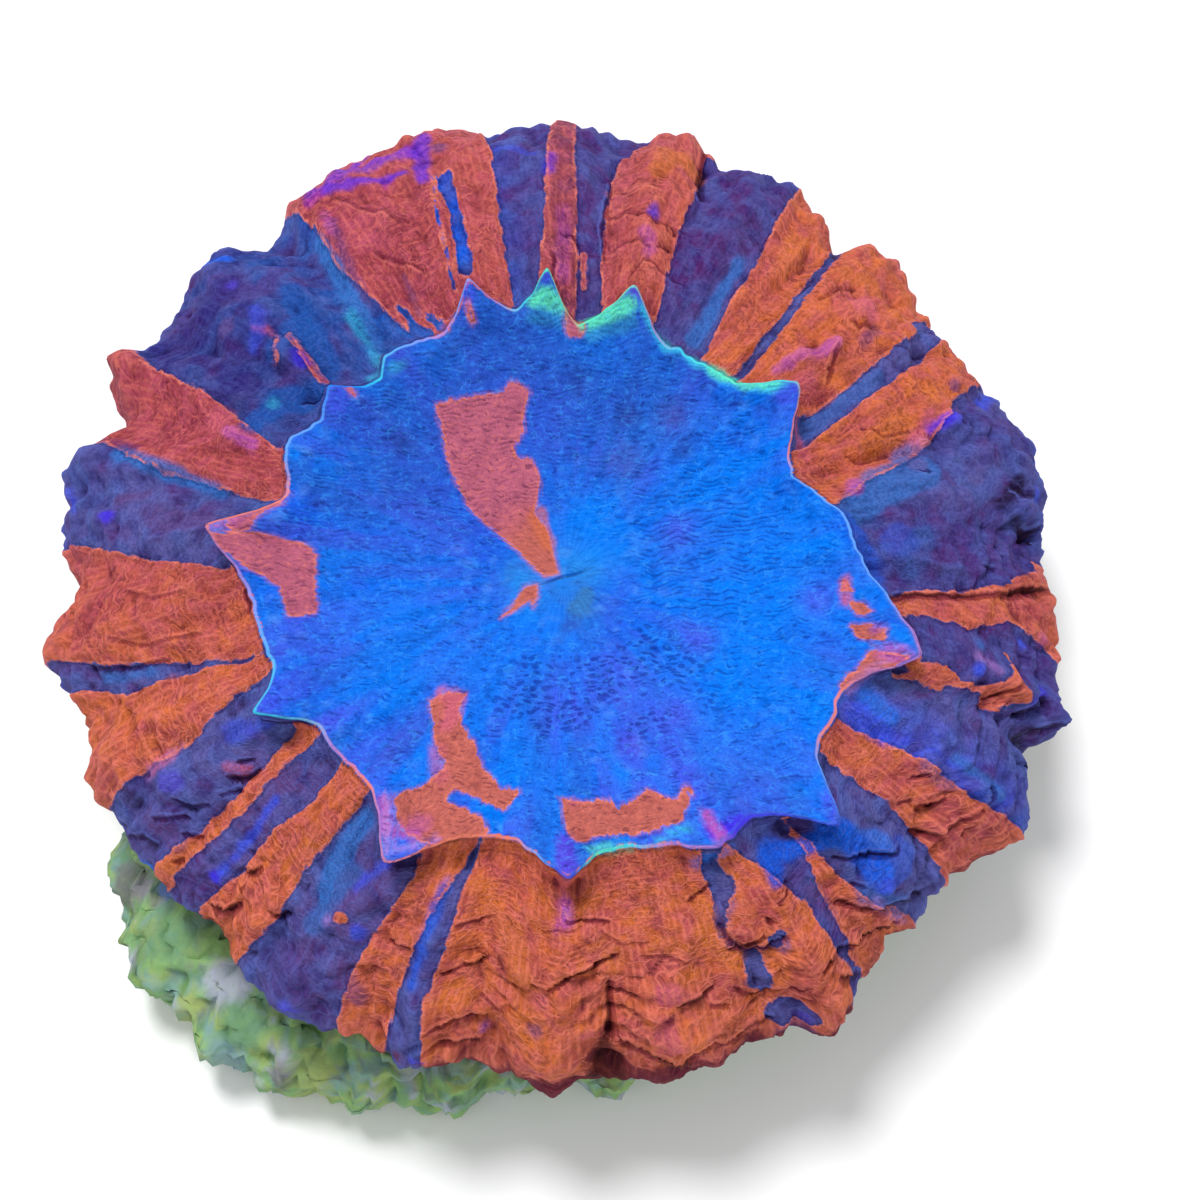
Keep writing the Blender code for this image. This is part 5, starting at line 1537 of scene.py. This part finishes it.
# --------------------------------------------------------------------- operators
def flesh_mesh(sizes, colours):
    """The whole flesh, painted, in one closed mesh."""
    doublings = ((0.14, 2.6), (0.4, 2.37), (0.99, 2.32))
    mesh, bearing, station = sheet("polyp_flesh", ring_stations(), doublings, FLESH_SIDES)
    smooth = on_skin(bearing, station, sizes)
    orange = orange_depth(bearing, station, smooth, sizes)
    lift, slide, gap, half = flesh_relief(bearing, station, smooth, orange, sizes)
    groove, slit_gap, slit = mouth_relief(smooth)
    near_mouth = 1 - gate(station, 0.12, 0.28)
    points = lay_out(bearing, station, lift + groove * near_mouth, slide, sizes)
    write_points(mesh, points)
    palette = palette_of(colours)
    warm, cool = paint_flesh(bearing, station, points, smooth, sizes, palette)
    lower_disc = gate(-np.abs(turn_from(285, bearing)), -60, -35)
    lower_disc *= gate(station, 0.2, 0.32) * gate(-station, -0.72, -0.6)
    for name, values in (
        ("orange_coat", warm), ("blue_coat", cool), ("orange_depth", orange),
        ("relief", relief_of(mesh, points, 8)),
        ("hollow", relief_of(mesh, points, 60) * gate(station, 1.07, 1.22)),
        # edge_glow: the far half of the mantle, where a painted highlight shows at grazing angles.
        ("edge_glow", gate(np.sin(np.radians(bearing)), -0.5, 0.1) * gate(station, 1.0, 1.2)),
        ("skin", wrap(bearing, station) * MM),
        ("mantle", gate(station, 0.98, 1.02)), ("slit", slit * near_mouth), ("slit_gap", slit_gap),
        ("near_mouth", near_mouth), ("crevice_gap", gap), ("crevice_half", half),
        ("crest_gap", np.clip((station - 1) * CREST_REACH, -9, 9)),
        ("crest_coat", round_colour(CREST_ROUND, bearing, palette)),
        ("dimpled", lower_disc * gate(rough(points, 5, 30), -0.3, 0.1)),
        ("rippled", gate(-np.hypot(points[:, 0] - 15, points[:, 1] - 2), -12, -6)),
        ("turn", np.radians(bearing)), ("way_down", skin_length(station)),
    ):  # fmt: skip
        add_attribute(mesh, name, values)
    close_up(mesh, points)
    map_skin(mesh)
    return mesh


def crust_place(bearing, share):
    """Reach, height, spread and roughness of the skeleton's skin, share 0 to 1 along."""
    rings = np.cumsum([row[4] for row in CRUST_PROFILE])
    columns = np.array(CRUST_PROFILE, float).T[:4]
    reach, height, spread, knobbly = (
        np.interp(share * rings[-1], rings, values) for values in columns
    )
    ledge = around(LEDGE, bearing, 1) * HUNDREDTH
    return reach + (ledge - DRUM_REACH) * spread, height, spread, knobbly


def crust_mesh(sizes, colours):
    """Ribbed drum and ragged ledge in one closed mesh."""
    total = sum(row[4] for row in CRUST_PROFILE)
    stations = np.arange(1, total + 1) / total
    doublings = ((0.06, 0.97), (0.07, 0.96))
    mesh, bearing, share = sheet("skeleton_crust", stations, doublings, CRUST_SIDES)
    reach, height, spread, knobbly = crust_place(bearing, share)
    smooth = stand(reach, height, bearing)
    loose = gate(-height, -15, -12.5)
    foot = gate(height, 0, 1.2)
    ribs = np.cos(np.radians(bearing * RIBS) + 0.8 * rough(smooth, 9, 40))
    reach += 0.35 * ribs * knobbly * (1 - 0.6 * spread)
    push = loose * knobbly * sizes.knob_height / MM
    teeth = 0.6 * rough(smooth * (1, 1, 0.35), 3.2, 41) + 0.9 * rough(smooth * (1, 1, 0.5), 1.4, 42)
    reach += push * (1.3 * teeth + 0.35 * spread * (knobs(smooth, 3.4, 1) - 0.5))
    rise = push * foot * (1.1 * rough(smooth, 4, 43) + 0.6 * rough(smooth, 1.6, 44))
    rise += push * foot * 0.6 * (knobs(smooth, 2.6, 2) - 0.3)
    height += np.clip(rise, -height, HIGHEST_KNOB)
    points = stand(reach, height, bearing)
    write_points(mesh, points)
    add_attribute(mesh, "relief", relief_of(mesh, points, 5))
    add_attribute(mesh, "crust_coat", algae_cover(points, palette_of(colours)))
    close_up(mesh, points)
    return mesh


def algae_cover(points, palette):
    """The crust's colour at each point, in soft patches."""
    coat = np.broadcast_to(palette["moss"], points.shape)
    push = np.stack([rough(points, 1.8, seed) for seed in (58, 62, 63)], axis=1)
    loose = points + 0.8 * push
    for name, size, seed, low, high, strength in ALGAE:
        coat = blend(coat, palette[name], strength * gate(rough(loose, size, seed), low, high))
    for name, strength, place, reach, radius in CRUST_TONES:
        centre = stand(np.array([reach]), np.zeros(1), np.array([place]))[:, :2]
        away = np.linalg.norm(loose[:, :2] - centre, axis=1) / radius
        coat = blend(coat, palette[name], strength * gate(-away, -1.25, -0.85))
    return coat


class CORAL_OT_polyp(bpy.types.Operator):
    """Make the polyp's flesh: disc, horned crest, mantle and rim"""

    bl_idname = "coral.polyp"
    bl_label = "Polyp"

    def execute(self, context):
        scene = context.scene
        mesh = flesh_mesh(scene.coral_sizes, scene.coral_colours)
        creases = shared_group("Crease shading", crease_group)
        material = flesh_material(scene.coral_colours, scene.coral_sizes, creases)
        add_piece("coral_polyp", mesh, material, ["polyp"])
        return {"FINISHED"}


class CORAL_OT_skeleton(bpy.types.Operator):
    """Make the stony skeleton with its encrusted ledge"""

    bl_idname = "coral.skeleton"
    bl_label = "Skeleton"

    def execute(self, context):
        scene = context.scene
        mesh = crust_mesh(scene.coral_sizes, scene.coral_colours)
        creases = shared_group("Crease shading", crease_group)
        material = crust_material(scene.coral_colours, creases)
        add_piece("coral_skeleton", mesh, material, ["skeleton"])
        return {"FINISHED"}


def shared_group(name, maker):
    """The node group of this name, made on first use."""
    return bpy.data.node_groups.get(name) or maker()


def add_to_scene(name, data):
    """A new object in the scene."""
    made = bpy.data.objects.new(name, data)
    bpy.context.scene.collection.objects.link(made)
    return made


def add_floor():
    """The pale floor, at the coral's foot."""
    shape = bmesh.new()
    bmesh.ops.create_grid(shape, x_segments=1, y_segments=1, size=2.0)
    mesh = bpy.data.meshes.new("floor")
    shape.to_mesh(mesh)
    shape.free()
    material, _, shader = principled("pale_floor", 0.9, 0.1)
    shader.inputs["Base Color"].default_value = FLOOR_COLOUR
    mesh.materials.append(material)
    add_to_scene("floor", mesh)


def add_light():
    """Even light from all round, and a soft lamp from above at the left."""
    world = bpy.data.worlds.new("soft_room")
    world.use_nodes = True
    background = world.node_tree.nodes["Background"]
    background.inputs["Color"].default_value = (1, 1, 1, 1)
    background.inputs["Strength"].default_value = 0.7
    bpy.context.scene.world = world
    key = bpy.data.lights.new("soft_key", "SUN")
    key.energy = 2.3
    key.angle = math.radians(18)
    lamp = add_to_scene("soft_key", key)
    lamp.rotation_euler = Vector((0.22, -0.42, -1)).to_track_quat("-Z", "Y").to_euler()


def add_camera():
    """The camera, high in front of the coral."""
    elevation, distance = math.radians(70), 0.312
    target = Vector((3.85, -1.8, 26)) * MM
    back = Vector((0, -math.cos(elevation), math.sin(elevation)))
    camera = bpy.data.cameras.new("camera")
    camera.lens, camera.sensor_width = 85, 36
    camera.clip_start, camera.clip_end = 0.01, 10
    eye = add_to_scene("camera", camera)
    eye.location = target + back * distance
    eye.rotation_euler = (-back).to_track_quat("-Z", "Y").to_euler()
    bpy.context.scene.camera = eye


class CORAL_OT_stage(bpy.types.Operator):
    """Set the pale floor, the soft light and the camera"""

    bl_idname = "coral.stage"
    bl_label = "Stage"

    def execute(self, context):
        context.scene.view_settings.view_transform = "Standard"
        add_floor()
        add_light()
        add_camera()
        return {"FINISHED"}


class CORAL_PT_panel(bpy.types.Panel):
    """Sizes, colours and the makers of each piece"""

    bl_idname = "CORAL_PT_panel"
    bl_label = "Doughnut coral"
    bl_space_type = "VIEW_3D"
    bl_region_type = "UI"
    bl_category = "Coral"

    def draw(self, context):
        for group in (context.scene.coral_sizes, context.scene.coral_colours):
            box = self.layout.box()
            for name in group.__annotations__:
                box.prop(group, name)
        for maker in MAKERS:
            self.layout.operator(maker.bl_idname)


MAKERS = (CORAL_OT_polyp, CORAL_OT_skeleton, CORAL_OT_stage)
CLASSES = (CoralSizes, CoralColours, *MAKERS, CORAL_PT_panel)


def register():
    for item in CLASSES:
        bpy.utils.register_class(item)
    bpy.types.Scene.coral_sizes = PointerProperty(type=CoralSizes)
    bpy.types.Scene.coral_colours = PointerProperty(type=CoralColours)


def unregister():
    del bpy.types.Scene.coral_colours
    del bpy.types.Scene.coral_sizes
    for item in reversed(CLASSES):
        bpy.utils.unregister_class(item)


def main():
    register()
    bpy.ops.coral.polyp()
    bpy.ops.coral.skeleton()
    bpy.ops.coral.stage()


if __name__ == "__main__":
    main()
